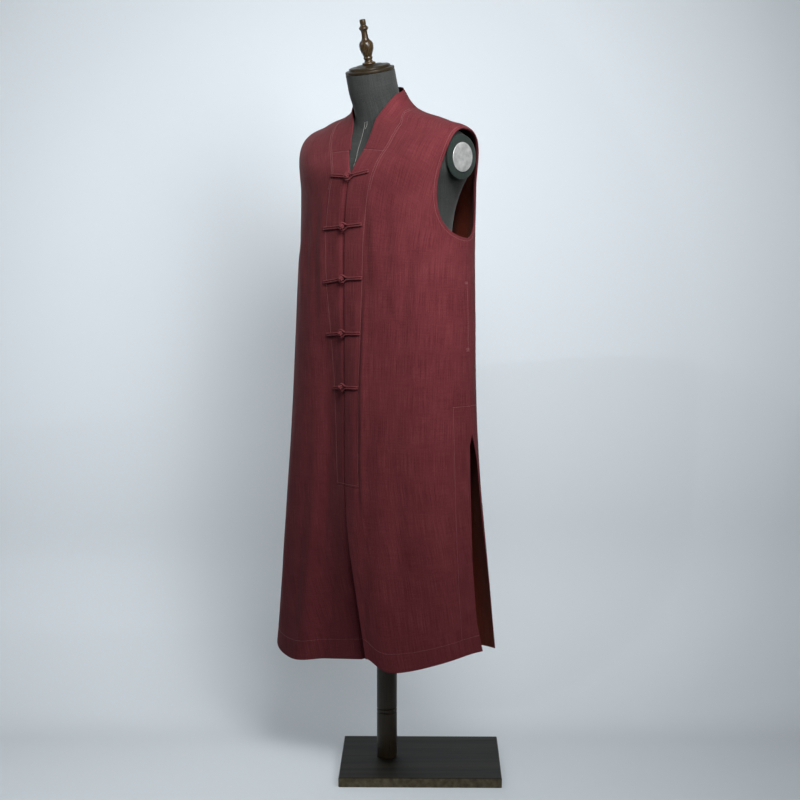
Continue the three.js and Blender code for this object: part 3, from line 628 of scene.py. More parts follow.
def spans(grid):
    """Cloth coordinates of a grid of points: metres run along its rows and along its columns."""
    step = np.linalg.norm(np.diff(grid, axis=1), axis=2)
    step = np.where(np.isnan(step), np.nanmedian(step, axis=0), step)
    across = np.concatenate([np.zeros((len(grid), 1)), np.cumsum(step, axis=1)], axis=1)
    rise = np.linalg.norm(np.diff(grid, axis=0), axis=2)
    along = np.concatenate([[0], np.cumsum(np.nanmedian(rise, axis=1))])
    return np.stack([across, np.broadcast_to(along[:, None], across.shape)], -1) * MM


def set_cloth_map(data, corner_uv):
    layer = data.uv_layers.new(name="cloth")
    layer.data.foreach_set("uv", np.asarray(corner_uv, np.float32).ravel())


linen = woven(
    "form linen", (44, 47, 46), (65, 68, 67), (94, 97, 95), threads=900.0, slub=1.0,
    sheen=0.15, rough=0.9, bump_height=0.0003, streak=0.55,
)


def form_cover():
    """The whole body from its foot to its neck's top, closed at both ends."""
    turns = np.linspace(0, 360, 145)[:-1]
    levels = np.linspace(0, len(FORM) - 1, 260)
    grid = form_surface(turns[None, :], levels[:, None])
    uv = spans(form_surface(np.append(turns, 360.0)[None, :], levels[:, None]))
    sides, rows = len(turns), len(levels)
    vertices = list(grid.reshape(-1, 3) * MM)
    faces, corner_uv = [], []
    for i in range(rows - 1):
        for j in range(sides):
            n = (j + 1) % sides
            faces.append((i * sides + j, i * sides + n, (i + 1) * sides + n, (i + 1) * sides + j))
            corner_uv += [uv[i, j], uv[i, j + 1], uv[i + 1, j + 1], uv[i + 1, j]]
    for row, middle in ((0, (0, 0, FORM[0][2])), (rows - 1, (0, FORM[-1][8], FORM[-1][2]))):
        hub = len(vertices)
        vertices.append(np.array(middle) * MM)
        for j in range(sides):
            n = (j + 1) % sides
            rim = (row * sides + n, row * sides + j) if row == 0 else (row * sides + j, row * sides + n)
            faces.append((*rim, hub))
            corner_uv += [vertices[rim[0]][:2], vertices[rim[1]][:2], vertices[hub][:2]]
    data = bpy.data.meshes.new("form_cover")
    data.from_pydata([tuple(v) for v in vertices], [], faces)
    set_cloth_map(data, corner_uv)
    cover = add_piece(data, [linen], crease=50)
    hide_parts("form_body")


form_cover()


def thread_finish(name, tone, pale):
    """Twisted sewing thread."""
    material, tree, shader = new_material(name, {"Roughness": 0.6, "Sheen Weight": 0.2})
    coords = node(tree, "ShaderNodeTexCoord")
    twist = node(tree, "ShaderNodeTexNoise", {"Scale": 2600})
    tones = tone_ramp(tree, (0, tone), (1, pale))
    raise_by(tree, shader, twist, "Fac", 1.0, 0.0001)
    wire(
        tree,
        (coords, "Object", twist, "Vector"),
        (twist, "Fac", tones, "Fac"),
        (tones, "Color", shader, "Base Color"),
    )
    return material


def stitch_tree():
    """Lays one short thread after another along every line of the mesh it is given."""
    tree, start, end = new_group(
        "lay stitches", "GeometryNodeTree",
        {"Lines": "Geometry", "Pitch": 0.0034, "Length": 0.0027, "Thickness": 0.0006, "Thread": "Material"},
        {"Stitches": "Geometry"},
    )
    curve = node(tree, "GeometryNodeMeshToCurve")
    places = node(tree, "GeometryNodeResampleCurve", mode="LENGTH")
    points = node(tree, "GeometryNodeCurveToPoints", mode="EVALUATED")
    stitch = node(tree, "GeometryNodeMeshUVSphere", {"Segments": 6, "Rings": 5, "Radius": 0.5})
    lay = node(tree, "FunctionNodeAlignRotationToVector", axis="X")
    size = node(tree, "ShaderNodeCombineXYZ")
    put = node(tree, "GeometryNodeInstanceOnPoints")
    real = node(tree, "GeometryNodeRealizeInstances")
    finish = node(tree, "GeometryNodeSetMaterial")
    wire(
        tree,
        (start, "Lines", curve, "Mesh"),
        (curve, "Curve", places, "Curve"),
        (start, "Pitch", places, "Length"),
        (places, "Curve", points, "Curve"),
        (points, "Tangent", lay, "Vector"),
        (points, "Points", put, "Points"),
        (stitch, "Mesh", put, "Instance"),
        (lay, "Rotation", put, "Rotation"),
        (start, "Length", size, "X"),
        (start, "Thickness", size, "Y"),
        (start, "Thickness", size, "Z"),
        (size, "Vector", put, "Scale"),
        (put, "Instances", real, "Geometry"),
        (real, "Geometry", finish, "Geometry"),
        (start, "Thread", finish, "Material"),
        (finish, "Geometry", end, "Stitches"),
    )
    return tree


LAY_STITCHES = stitch_tree()


def stitched(name, lines, thread, pitch=0.0034, length=0.0027, thickness=0.0006):
    """Sewn lines as one piece. Each line is a run of points in metres."""
    data = bpy.data.meshes.new(name)
    vertices, edges = [], []
    for line in lines:
        edges += [(len(vertices) + k, len(vertices) + k + 1) for k in range(len(line) - 1)]
        vertices += [tuple(float(v) for v in point) for point in line]
    data.from_pydata(vertices, edges, [])
    guide = into_scene(data)
    layer = guide.modifiers.new("stitches", "NODES")
    layer.node_group = LAY_STITCHES
    sockets = {s.name: s.identifier for s in LAY_STITCHES.interface.items_tree if s.in_out == "INPUT"}
    for key, value in (("Pitch", pitch), ("Length", length), ("Thickness", thickness), ("Thread", thread)):
        layer[sockets[key]] = value
    depsgraph = bpy.context.evaluated_depsgraph_get()
    made = bpy.data.meshes.new_from_object(guide.evaluated_get(depsgraph))
    guide.modifiers.clear()
    guide.data = made
    made.name = name
    made.shade_smooth()
    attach(guide, "root")


THREAD_LIFT = 0.2  # how far the neck seam's thread stands off the cover, millimetres


def form_line(path, steps):
    """A line over the form's cover through angles and levels, lifted a little off it."""
    path = np.array(path, float)
    angle, level = read(path, np.linspace(0, len(path) - 1, steps)).T
    return (form_surface(angle, level) + outward(form_surface, angle, level) * THREAD_LIFT) * MM


pale_thread = thread_finish("pale thread", (150, 152, 148), (206, 207, 202))
stitched(
    "form_neck_seam",
    [
        form_line([(5, 11.75), (0, 11.4), (-3.5, 11), (-2, 10.5), (2.5, 9.8), (4, 9.2)], 60),
        form_line([(12, 11.78), (10, 11.6), (5, 11.4)], 12),
    ],
    pale_thread, pitch=0.0023, length=0.0024, thickness=0.0010,
)

# ----------------------------------------
# Arm plates and discs. Each arm end is closed by a linen-covered oval board with a plain satin
# metal disc pinned to its middle.
# ----------------------------------------
OVAL_SIDES, RIM_TURNS = 96, 5


def oval_cover(name, replaced, dome, edge, material):
    """A flat oval with a rounded rim and a slightly domed face, looking outwards along X."""
    low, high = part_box(replaced)
    side = 1 if low.x + high.x > 0 else -1
    start, face = (low.x, high.x) if side > 0 else (high.x, low.x)
    middle = (low + high) / 2
    wide, tall = (high.y - low.y) / 2, (high.z - low.z) / 2
    thick = abs(face - start)
    rings = [(0.0, thick), (0.3, thick - dome * 0.09), (0.6, thick - dome * 0.36)]
    flat = 1 - edge / wide
    rings.append((flat, thick - dome * flat * flat))
    for k in range(1, RIM_TURNS + 1):
        turn = math.radians(90 * k / RIM_TURNS)
        rings.append((flat + (1 - flat) * math.sin(turn), thick - dome - edge * (1 - math.cos(turn))))
    rings += [(1.0, 0.0), (0.0, 0.0)]
    mesh = ringed([
        [
            (start + side * max(out, 0.0), middle.y + share * wide * y, middle.z + share * tall * z)
            for y, z in full_turn(share, OVAL_SIDES)
        ]
        for share, out in rings
    ], OVAL_SIDES)
    uv = mesh.loops.layers.uv.new("cloth")
    for face_here in mesh.faces:
        for loop in face_here.loops:
            loop[uv].uv = (loop.vert.co.y, loop.vert.co.z)
    piece = add_piece(mesh_data(name, mesh), [material], crease=50)
    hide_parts(replaced)


def satin_metal():
    """Pressed metal disc: light scratches and dull spots."""
    material, tree, shader = new_material("satin disc", {"Metallic": 0.45})
    coords = node(tree, "ShaderNodeUVMap", uv_map="cloth")
    scratch = node(tree, "ShaderNodeTexNoise", {"Scale": 700, "Detail": 4})
    dull = node(tree, "ShaderNodeTexNoise", {"Scale": 70})
    tones = tone_ramp(tree, (0.35, (196, 198, 197)), (0.7, (240, 241, 240)))
    roughen_by(tree, shader, scratch, "Fac", 0.22, 0.5)
    raise_by(tree, shader, scratch, "Fac", 0.15, 0.0002)
    wire(
        tree,
        (coords, "UV", scratch, "Vector"),
        (coords, "UV", dull, "Vector"),
        (dull, "Fac", tones, "Fac"),
        (tones, "Color", shader, "Base Color"),
    )
    return material


disc_metal = satin_metal()
plate_linen = woven(
    "arm plate linen", (28, 36, 34), (44, 54, 51), (72, 84, 80), threads=900.0, slub=1.0,
    sheen=0.15, rough=0.9, bump_height=0.0003, streak=0.55,
)
for side_name in ("left", "right"):
    plate, disc = f"arm_plate_{side_name}", f"arm_disc_{side_name}"
    oval_cover(f"arm_cover_{side_name}", plate, 0.0008, 0.0022, plate_linen)
    oval_cover(f"disc_{side_name}", disc, 0.0004, 0.001, disc_metal)

# ----------------------------------------
# Neck cap and finial. A two-stepped round cap closes the neck, and a small turned baluster is
# screwed into it. Both are stained wood under lacquer, dark on the cap, bronzed on the finial, with a
# painted highlight in a pale tone on their sharp rims and ridges.
# ----------------------------------------
NECK_LEAN = math.radians(12)
NECK_TOP = (0, -0.046, 1.434)
CAP_PROFILE = [
    (0, 0.3), (48, 0.3), (49.0, 0.9), (49.5, 2.2), (49.5, 4.6), (48.9, 5.9), (47.5, 6.6),
    (44.4, 6.9), (43.0, 7.3), (42.2, 8.3), (42, 9.4), (41.9, 10.2), (41.0, 11.3), (39, 12.2),
    (33, 12.7), (29, 13.2), (27.2, 13.8), (25.6, 14.7), (16, 15.4), (0, 15.4),
]
FINIAL_PROFILE = [
    (12, 15.7), (13.2, 16.6), (13.4, 17.8), (12.6, 19.4), (10.2, 20.4), (8.4, 21.4), (8, 25),
    (9.2, 27.6), (9.1, 29), (8.5, 30.6), (8.6, 32), (10.5, 37), (13, 43), (14.3, 50), (14, 56),
    (11.6, 61), (8.4, 64), (6.8, 69), (6.2, 76), (6.3, 80.4), (7.6, 83.2), (9.3, 85.8),
    (9.4, 88), (7.4, 90.8), (5.7, 93), (5.7, 94.6), (6.2, 97), (6.1, 102.6), (5.2, 104.6),
]
# the pale third tone of both goes on their sharp edges: partly wear, partly a painted highlight
bronzed = stained_wood(
    "bronzed lacquer", (42, 30, 20), (92, 74, 48), (196, 176, 136), (1.0, 1.0, 0.22),
    gloss=0.24, coat=0.5,
)
cap_lacquer = stained_wood(
    "cap lacquer", (26, 21, 15), (62, 52, 38), (150, 134, 104), (0.3, 1.0, 1.0),
    gloss=0.34, coat=0.05, shine=0.12,
)
cap = turned(
    "neck_cap_turned", [(r * MM, z * MM) for r, z in CAP_PROFILE], cap_lacquer,
    sides=96, lean=NECK_LEAN, foot=NECK_TOP,
)
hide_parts("neck_cap")
finial_line = [(0, 15.7), *eased(FINIAL_PROFILE), (0, 105.5)]
finial = turned(
    "finial_turned", [(r * MM, z * MM) for r, z in finial_line], bronzed,
    sides=64, lean=NECK_LEAN, foot=NECK_TOP,
)
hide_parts("finial")

# ----------------------------------------
# Fronts. Each front is one panel of plain-woven linen and cotton, cut with a straight closing
# edge below the bands and a side seam that stops at the slit. It hangs from the shoulder.
# ----------------------------------------
SIDES = ((1, "left"), (-1, "right"))
CLOTH = 1.6  # wall of the outer cloth, millimetres
GAP = 0.12  # between pieces at a seam
BAND = 54.0  # width of the left placket; the edge tables give the width elsewhere
UNDERLAP = 20.0  # how far the right band runs under the left one
UNDER = 5.4  # how far below the left band it lies there
UNDER_RUN = 14  # and how far out it has come up again
LEFT_FLARE = 4  # how far the left edge stands out at the hem
RIGHT_FALL, FALL_RUN = 39, 130  # how far the right front falls back there, and over what width
PANEL_WIDTH = 240  # of a front beside its band, for the fall alone

# The vest's level curves from hem to collar, with the form's columns but for the power.
VEST = np.array([
    [238, 266, 288, 274, 262, 265, 160, 124, 0, 2.65, 2.6],
    [426, 430, 440, 432, 430, 249, 147, 117, 0, 2.7, 2.5],
    [608, 608, 608, 608, 608, 236, 134, 106, 0, 2.75, 2.3],
    [790, 790, 790, 790, 790, 228, 128, 100, 0, 2.5, 2.15],
    [940, 940, 940, 940, 940, 222, 126, 107, 0, 2.35, 2.1],
    [1050, 1050, 1050, 1050, 1050, 218, 125, 120, 0, 2.25, 2.0],
    [1115, 1112, 1110, 1115, 1120, 216, 125, 126, 0, 2.1, 2.0],
    [1180, 1188, 1205, 1200, 1195, 217, 126, 129, 0, 2.0, 2.0],
    [1236, 1264, 1306, 1288, 1272, 219, 123, 125, 0, 2.0, 2.0],
    [1277, 1306, 1337, 1328, 1316, 152, 95, 103, -2, 2.0, 2.0],
    [1318, 1340, 1360, 1364, 1360, 73, 59, 71, -15, 2.0, 2.0],
    [1352, 1375, 1399, 1405, 1407, 55, 42, 46, -25, 2.0, 2.0],
])
# Folds hang from a level down to where they are full. Angle, turn for each level up, spread on
# the wearer's right and left, start, full, depth and rise.
FOLDS = np.array([
    [31, -11, 20, 9.5, 1.6, 0, 14, 30], [25, 0, 26, 15, 4.7, 2.7, -8, 0],
    [-20, 0, 16, 24, 4.7, 2.7, 13, 0], [-62, 0, 32, 32, 2, 0, 0, -24],
    [-16, 0, 16, 16, 1.5, 0, 0, 9], [58, 0, 13, 13, 2.6, 0, 6, 0], [84, 0, 9, 9, 2.9, 0, 5, 0],
    [-48, 0, 12, 12, 2.4, 0, 7, 0], [-80, 0, 10, 10, 2.8, 0, 5, 0],
    [146, 0, 12, 12, 3.2, 0, 9, 0], [184, 0, 14, 14, 2.7, 0, 7, 0],
    [222, 0, 11, 11, 3.4, 0, 8, 0],
])
# The neckline, from the hem up the closing edge and round to the nape: angle, level, lean of
# the way across the band and its width.
LEFT_EDGE = np.array([
    [30.5, 0, 0, 44], [20, 1, 0, 44], [7, 2, 0, 44], [3.8, 3, 0, 45], [2.6, 4, 0, 47],
    [2.2, 5, 0, 50], [3.2, 6.1, 0, 52], [7, 7.2, 0, 54], [12, 8.0, 0, 54], [18.6, 9.05, 5, 56],
    [31, 10.05, 18, 60], [45, 10.4, 25, 56], [90, 10.8, 70, 46], [135, 10.95, 90, 44],
    [180, 11, 90, 44]], float)
RIGHT_EDGE = np.array([
    [30.5, 0, 0, 30], [20, 1, 0, 30], [7, 2, 0, 33], [3.8, 3, 0, 43], [2.6, 4, 0, 50],
    [2.2, 5, 0, 56], [3.2, 6.1, 0, 57], [7, 7.2, 0, 54], [10.5, 8.0, 0, 54], [-3.6, 9.05, 5, 56],
    [-26, 10.05, 18, 60], [-43, 10.4, 25, 56], [-90, 10.8, 70, 46], [-135, 10.95, 90, 44],
    [-180, 11, 90, 44]], float)
KNEE, NECKLINE, LAPEL, NAPE = 2, 8, 9, 14
FRONT_SIDE = np.array([[91.7, 0], [89.6, 0.4], [89.2, 1.2], [90.3, 2.49], [92.2, 2.6], [91.2, 3],
                       [91.5, 4.4], [92.5, 5.9]])
BACK_SIDE = np.array([[107, 0], [105, 0.6], [101, 1.3], [97, 2.3], [92.2, 2.6], [91.2, 3],
                      [91.5, 4.4], [92.5, 5.9]])
FRONT_ARMHOLE = np.array([
    [92.5, 5.9], [88.5, 5.93], [84.5, 6.0], [80, 6.14], [76.2, 6.37], [74.2, 6.67], [73.9, 7.0],
    [75, 7.38], [77.6, 7.7], [81, 7.96], [85, 8.11], [90, 8.19]])
BACK_ARMHOLE = np.array([
    [92.5, 5.9], [97, 5.97], [101, 6.12], [104, 6.33], [106, 6.6], [107, 6.9], [107.5, 7.2],
    [107, 7.5], [105, 7.8], [101.5, 8.02], [96.5, 8.14], [90, 8.19]])
SEAM_ROWS, LAPEL_ROWS, NECK_ROWS, KNEE_ROW, ARMPIT = 13, 7, 5, 5, 5.9
ARM_ROWS = LAPEL_ROWS + NECK_ROWS


def bare(angle, level):
    return on_body(VEST, angle, level)


def vest(angle, level):
    """The outer face of the vest with its hanging folds and the tilt of its shoulders."""
    angle, level = np.broadcast_arrays(np.asarray(angle, float), np.asarray(level, float))
    point = bare(angle, level)
    depth, rise = np.zeros(angle.shape), np.zeros(angle.shape)
    for at, lean, right, left, start, full, deep, high in FOLDS:
        off = (angle - at - lean * level + 180) % 360 - 180
        hang = smooth((level - start) / (full - start)) ** 0.9
        share = np.exp(-((off / np.where(off > 0, left, right)) ** 2)) * hang
        depth += share * deep
        rise += share * high
    point -= outward(bare, angle, level) * depth[..., None]
    point[..., 2] += rise + tilt_lift(point)
    return point


def walk(angle, level, heading, distance):
    """Walks over the vest in a heading laid flat on the cloth, and says where it ends."""
    angle, level = np.array(angle, float), np.array(level, float)
    heading = np.broadcast_to(np.asarray(heading, float), angle.shape + (3,))
    steps = max(2, math.ceil((np.max(np.abs(distance)) - 1) / 9))
    distance = np.broadcast_to(np.asarray(distance, float), angle.shape)[..., None]
    for _ in range(steps):
        across, up = slopes(vest, angle, level)
        u, v = across / (2 * TURN_STEP), up / (2 * LEVEL_STEP)
        n = np.cross(u, v)
        n /= np.linalg.norm(n, axis=-1, keepdims=True)
        step = heading - n * (heading * n).sum(-1, keepdims=True)
        step *= distance / steps / np.linalg.norm(step, axis=-1, keepdims=True)
        uu, vv, uv = (u * u).sum(-1), (v * v).sum(-1), (u * v).sum(-1)
        su, sv = (step * u).sum(-1), (step * v).sum(-1)
        angle += (su * vv - sv * uv) / (uu * vv - uv * uv)
        level += (sv * uu - su * uv) / (uu * vv - uv * uv)
    return angle, level


def on_band(side, place, out):
    """Angle and level at places along the neckline and one distance out from it, counted for a
    band of full width and drawn in or out with the band's own width there."""
    edge = read(LEFT_EDGE if side > 0 else RIGHT_EDGE, place)
    angle, level, lean, wide = edge[..., 0], edge[..., 1], np.radians(edge[..., 2]), edge[..., 3]
    if abs(out) < 0.01:
        return angle, level
    if out < 0:
        return walk(angle, level, (-side, 0, 0), -out)
    heading = np.stack([side * np.cos(lean), np.zeros(lean.shape), -np.sin(lean)], -1)
    across = out * wide / BAND if out <= BAND else wide + out - BAND
    return walk(angle, level, heading, across)


def row_level(row):
    """The level of a row of the panels below the armpit."""
    low = KNEE * row / KNEE_ROW
    high = KNEE + (row - KNEE_ROW) / (SEAM_ROWS - KNEE_ROW) * (ARMPIT - KNEE)
    return np.where(row <= KNEE_ROW, low, high)


def border(rows, share):
    """A two-column border read at a share of its length, with a smooth curve."""
    return np.moveaxis(read(rows, np.asarray(share, float) * (len(rows) - 1)), -1, 0)


def place_of_level(side, level):
    places = np.linspace(0, NECKLINE, 1601)
    return np.interp(level, read(LEFT_EDGE if side > 0 else RIGHT_EDGE, places)[:, 1], places)


def shoulder_place(side):
    """Where along the neckline the band's outer edge crosses the shoulder seam."""
    places = np.linspace(NECKLINE, NAPE, 400)
    return float(np.interp(90, np.abs(on_band(side, places, BAND + GAP)[0]), places))


SHOULDER_PLACE = {1: shoulder_place(1), -1: shoulder_place(-1)}


def station(side, row):
    """The place along the neckline that a row of a panel and of its bands shares."""
    armpit = place_of_level(side, ARMPIT)
    low = place_of_level(side, row_level(row))
    lapel = armpit + (LAPEL - armpit) * (row - SEAM_ROWS) / LAPEL_ROWS
    neck = LAPEL + (SHOULDER_PLACE[side] - LAPEL) * (row - SEAM_ROWS - LAPEL_ROWS) / NECK_ROWS
    return np.where(row <= SEAM_ROWS, low, np.where(row <= SEAM_ROWS + LAPEL_ROWS, lapel, neck))


def dip(side, place, out):
    """The right band dips under the left one at the closing edge, up to the neckline. Below the
    bands the left edge flares out and the right front falls back behind it."""
    low = smooth((KNEE - place) / KNEE)
    if side > 0:
        return LEFT_FLARE * low * smooth((BAND - out) / BAND)
    shut = 1 - smooth((place - NECKLINE + 0.1) / 0.5)
    under = smooth((UNDER_RUN - out) / UNDER_RUN) * shut
    return -UNDER * under - RIGHT_FALL * low * smooth((FALL_RUN - out) / FALL_RUN)


# Soft creases: depth and half width in millimetres, then angle and level along
# each one. A positive depth stands proud of the cloth.
CREASES = [
    (-3.0, 7, [(23.2, 4.9), (22.7, 4.1), (22.2, 3.2), (22.3, 2.6), (23.3, 2.1), (26.5, 1.6)]),
    (2.8, 9, [(27.3, 4.8), (26.6, 4.1), (26.2, 3.2), (26.3, 2.6), (27.4, 2.1), (30.4, 1.6)]),
    (2.6, 16, [(30, 7.6), (33, 6.6), (34, 5.2), (33, 4.0)]),
    (-2.4, 14, [(26, 7.2), (28, 6.0), (29, 4.6), (28, 3.2)]),
    (-1.8, 11, [(44, 6.8), (45, 5.8), (44, 4.6)]),
    (1.6, 14, [(52, 6.6), (52, 5.2), (50, 4.1)]),
    (-1.9, 12, [(60, 5.9), (58, 5.0), (55, 4.0), (52, 3.2)]),
    (1.8, 12, [(70, 6.0), (66, 5.3), (62, 4.4), (58, 3.4)]),
    (-1.6, 9, [(74, 5.6), (71, 5.0), (66, 4.3)]),
    (2.2, 20, [(40, 3.4), (41, 2.3), (42, 1.2), (42, 0.2)]),
    (-2.4, 18, [(50, 2.9), (51, 1.9), (52, 0.9), (52, 0.1)]),
    (-2.0, 15, [(31, 2.6), (31, 1.7), (30, 0.8), (30, 0.1)]),
    (1.8, 16, [(68, 3.0), (69, 2.0), (70, 0.9), (70, 0.1)]),
    (-1.5, 10, [(77, 2.5), (78, 1.6), (79, 0.6)]),
    (1.2, 8, [(47, 4.5), (51, 4.25), (55, 4.2)]),
    (-1.1, 7, [(46, 4.2), (51, 4.0), (55, 4.0)]),
    (2.4, 15, [(-24, 7.4), (-28, 6.2), (-29, 5.0), (-28, 3.8)]),
    (-2.2, 13, [(-33, 7.0), (-36, 6.0), (-37, 4.8), (-35, 3.6)]),
    (-1.8, 11, [(-48, 6.6), (-49, 5.4), (-47, 4.2)]),
    (1.9, 13, [(-60, 6.2), (-58, 5.1), (-55, 4.1)]),
    (-1.8, 11, [(-70, 6.0), (-66, 5.2), (-60, 4.2)]),
    (2.2, 17, [(-30, 3.2), (-31, 2.2), (-33, 1.1), (-33, 0.2)]),
    (-2.5, 17, [(-41, 2.9), (-42, 1.9), (-43, 0.8), (-43, 0.1)]),
    (2.0, 15, [(-56, 3.0), (-57, 1.9), (-58, 0.9), (-58, 0.1)]),
    (-1.8, 13, [(-70, 2.8), (-71, 1.8), (-72, 0.7)]),
    (-1.4, 9, [(-20, 2.6), (-20, 1.8), (-21, 0.9)]),
    (2.6, 18, [(122, 7.6), (126, 6.4), (127, 5.0), (126, 3.8)]),
    (-2.8, 17, [(136, 7.9), (139, 6.6), (140, 5.2), (139, 3.8)]),
    (2.2, 15, [(152, 7.4), (154, 6.0), (154, 4.6)]),
    (-2.4, 15, [(168, 8.0), (169, 6.6), (169, 5.0), (168, 3.9)]),
    (2.2, 16, [(190, 7.4), (191, 6.0), (191, 4.4)]),
    (-2.6, 16, [(205, 7.9), (203, 6.4), (203, 5.0), (204, 3.8)]),
    (2.4, 15, [(219, 7.4), (218, 6.0), (218, 4.6)]),
    (-2.4, 14, [(233, 7.2), (232, 6.0), (232, 4.6), (233, 3.6)]),
    (2.6, 20, [(118, 3.3), (119, 2.2), (120, 1.0), (120, 0.1)]),
    (-2.8, 18, [(131, 3.1), (132, 2.0), (133, 0.9), (133, 0.1)]),
    (2.4, 18, [(160, 3.2), (161, 2.2), (161, 1.0), (161, 0.1)]),
    (-2.4, 16, [(173, 2.9), (173, 1.9), (174, 0.8)]),
    (2.6, 19, [(201, 3.2), (201, 2.1), (202, 1.0), (202, 0.1)]),
    (-2.6, 17, [(235, 3.2), (236, 2.1), (237, 0.9), (237, 0.1)]),
    (2.2, 15, [(246, 2.9), (247, 1.9), (248, 0.8)]),
]


def crease_lines():
    """Depth, half width and points of every crease."""
    lines = []
    for depth, width, path in CREASES:
        path = np.array(path, float)
        fine = read(path, np.linspace(0, len(path) - 1, 6 * len(path)))
        lines.append((depth, width, vest(fine[:, 0], fine[:, 1])))
    return lines


CREASE_LINES = crease_lines()


def drape(point):
    """How far the cloth stands proud at points of the vest: creases and a slight unevenness."""
    flat = point.reshape(-1, 3)
    proud = np.zeros(len(flat))
    for depth, width, line in CREASE_LINES:
        near = np.full(len(flat), 1e9)
        share = np.zeros(len(flat))
        for k in range(len(line) - 1):
            start, run = line[k], line[k + 1] - line[k]
            t = np.clip(((flat - start) @ run) / (run @ run), 0, 1)
            away = np.linalg.norm(flat - start - t[:, None] * run, axis=1)
            closer = away < near
            near[closer] = away[closer]
            share[closer] = (k + t[closer]) / (len(line) - 1)
        body = np.sin(np.pi * np.clip(share, 0.02, 0.98)) ** 0.7
        wander = 1 + 0.25 * np.sin(share * 11 + width)
        proud += depth * body * np.exp(-((near / (width * wander)) ** 2))
    x, y, z = flat.T
    proud += 0.35 * np.sin(x / 23 + 1.3) * np.sin(z / 61 + x / 90) + 0.3 * np.sin(y / 19 + z / 83)
    proud += 0.22 * np.sin(x / 11 + z / 37 + 2.1) * np.sin(y / 13 - z / 47)
    return proud.reshape(point.shape[:-1])


def hung(angle, level, lift=0.0):
    """Where the cloth really hangs, in millimetres, with a lift off its outer face."""
    angle, level = np.broadcast_arrays(np.asarray(angle, float), np.asarray(level, float))
    point = vest(angle, level)
    out = outward(vest, angle, level)
    return point + out * (drape(point) + lift)[..., None]


def even(start, end, step, edge=1.3):
    """Places from start to end about one step apart, with a narrow one at each end."""
    count = max(2, round(abs(end - start) / step))
    middle = np.linspace(start, end, count + 1)[1:-1]
    return np.concatenate([[start, start + edge], middle, [end - edge, end]])


def cloth_piece(name, patches, materials, wall=CLOTH, roll=0.08):
    """A thin closed shell over grids of (angle, level, lift), not a number where there is no
    cloth. Each grid is faced outwards and they are joined where they meet. The shell's edges
    are rolled in a little."""
    points, maps, faces, count = [], [], [], 0
    for cells in patches:
        grid = hung(cells[..., 0], cells[..., 1], cells[..., 2])
        maps.append(spans(grid).reshape(-1, 2))
        points.append(grid.reshape(-1, 3))
        ids = np.arange(grid[..., 0].size).reshape(grid.shape[:2]) + count
        quads = np.stack([ids[:-1, :-1], ids[:-1, 1:], ids[1:, 1:], ids[1:, :-1]], -1).reshape(-1, 4)
        a, b, c, d = (points[-1][quads[:, k] - count] for k in range(4))
        away = (np.cross(c - a, d - b) * (a + b + c + d))[:, :2]
        faces.append(quads if np.nansum(away) > 0 else quads[:, ::-1])
        count += ids.size
    points, maps, faces = np.vstack(points), np.vstack(maps), np.vstack(faces)
    faces = faces[np.isfinite(points[faces]).all(axis=(1, 2))]
    corner_maps = maps[faces]
    used, faces = np.unique(faces, return_inverse=True)
    points, faces = points[used], faces.reshape(-1, 4)
    _, first, weld = np.unique(np.round(points / 0.05), axis=0, return_index=True, return_inverse=True)
    points, faces = points[first], weld.ravel()[faces]
    a, b, c, d = (points[faces[:, k]] for k in range(4))
    tilt = np.cross(c - a, d - b)
    out = np.zeros(points.shape)
    for k in range(4):
        np.add.at(out, faces[:, k], tilt)
    out /= np.linalg.norm(out, axis=1, keepdims=True)
    # edges that only one face has are the piece's own edges
    edges = np.concatenate([faces[:, [k, (k + 1) % 4]] for k in range(4)])
    known = {(int(p), int(q)) for p, q in edges if p != q}
    rim = [(p, q) for p, q in known if (q, p) not in known]
    at_edge = np.zeros(len(points))
    at_edge[[p for p, _ in rim]] = 1
    outer = points - out * (roll * at_edge)[:, None]
    inner = points - out * (wall - 0.6 * roll * at_edge)[:, None]
    total = len(points)
    polygons, uvs, kinds = [], [], []
    for face, uv in zip(faces, corner_maps):
        ring, ring_uv = [], []
        for v, m in zip(face, uv):
            if v not in ring:
                ring.append(int(v))
                ring_uv.append(m)
        if len(ring) < 3:
            continue
        polygons += [ring, [v + total for v in reversed(ring)]]
        uvs += [ring_uv, ring_uv[::-1]]
        kinds += [0, 1]
    map_of = {}
    for face, uv in zip(faces, corner_maps):
        for v, m in zip(face, uv):
            map_of.setdefault(int(v), m)
    for p, q in rim:
        polygons.append([q, p, p + total, q + total])
        step = np.array([0.0, wall * MM])
        uvs.append([map_of[q], map_of[p], map_of[p] + step, map_of[q] + step])
        kinds.append(0)
    data = bpy.data.meshes.new(name)
    data.from_pydata([tuple(v) for v in np.vstack([outer, inner]) * MM], [], polygons)
    set_cloth_map(data, [m for ring in uvs for m in ring])
    data.polygons.foreach_set("material_index", np.array(kinds, np.int32))
    return add_piece(data, materials)


maroon = woven(
    "maroon cloth", (88, 34, 40), (115, 51, 57), (142, 71, 75), threads=1250.0, slub=0.9,
    sheen=0.045, tint=(1.0, 0.8, 0.8), rough=0.9, streak=0.85,
)
reverse = woven(
    "reverse of the cloth", (92, 33, 22), (132, 54, 36), (164, 78, 54), threads=1250.0, slub=0.9,
    sheen=0.1, tint=(1.0, 0.7, 0.6), rough=0.88,
)

SHORT, SIDE_SHORT = 0.1, 0.05  # degrees that a panel stops short of shoulder and side seams
panel_rows = np.unique(np.concatenate([
    np.linspace(0, SEAM_ROWS, SEAM_ROWS * 12 + 1),
    np.linspace(SEAM_ROWS, SEAM_ROWS + ARM_ROWS, ARM_ROWS * 5 + 1),
    [0.02, KNEE_ROW - 0.02, KNEE_ROW + 0.02, SEAM_ROWS + ARM_ROWS - 0.04],
]))


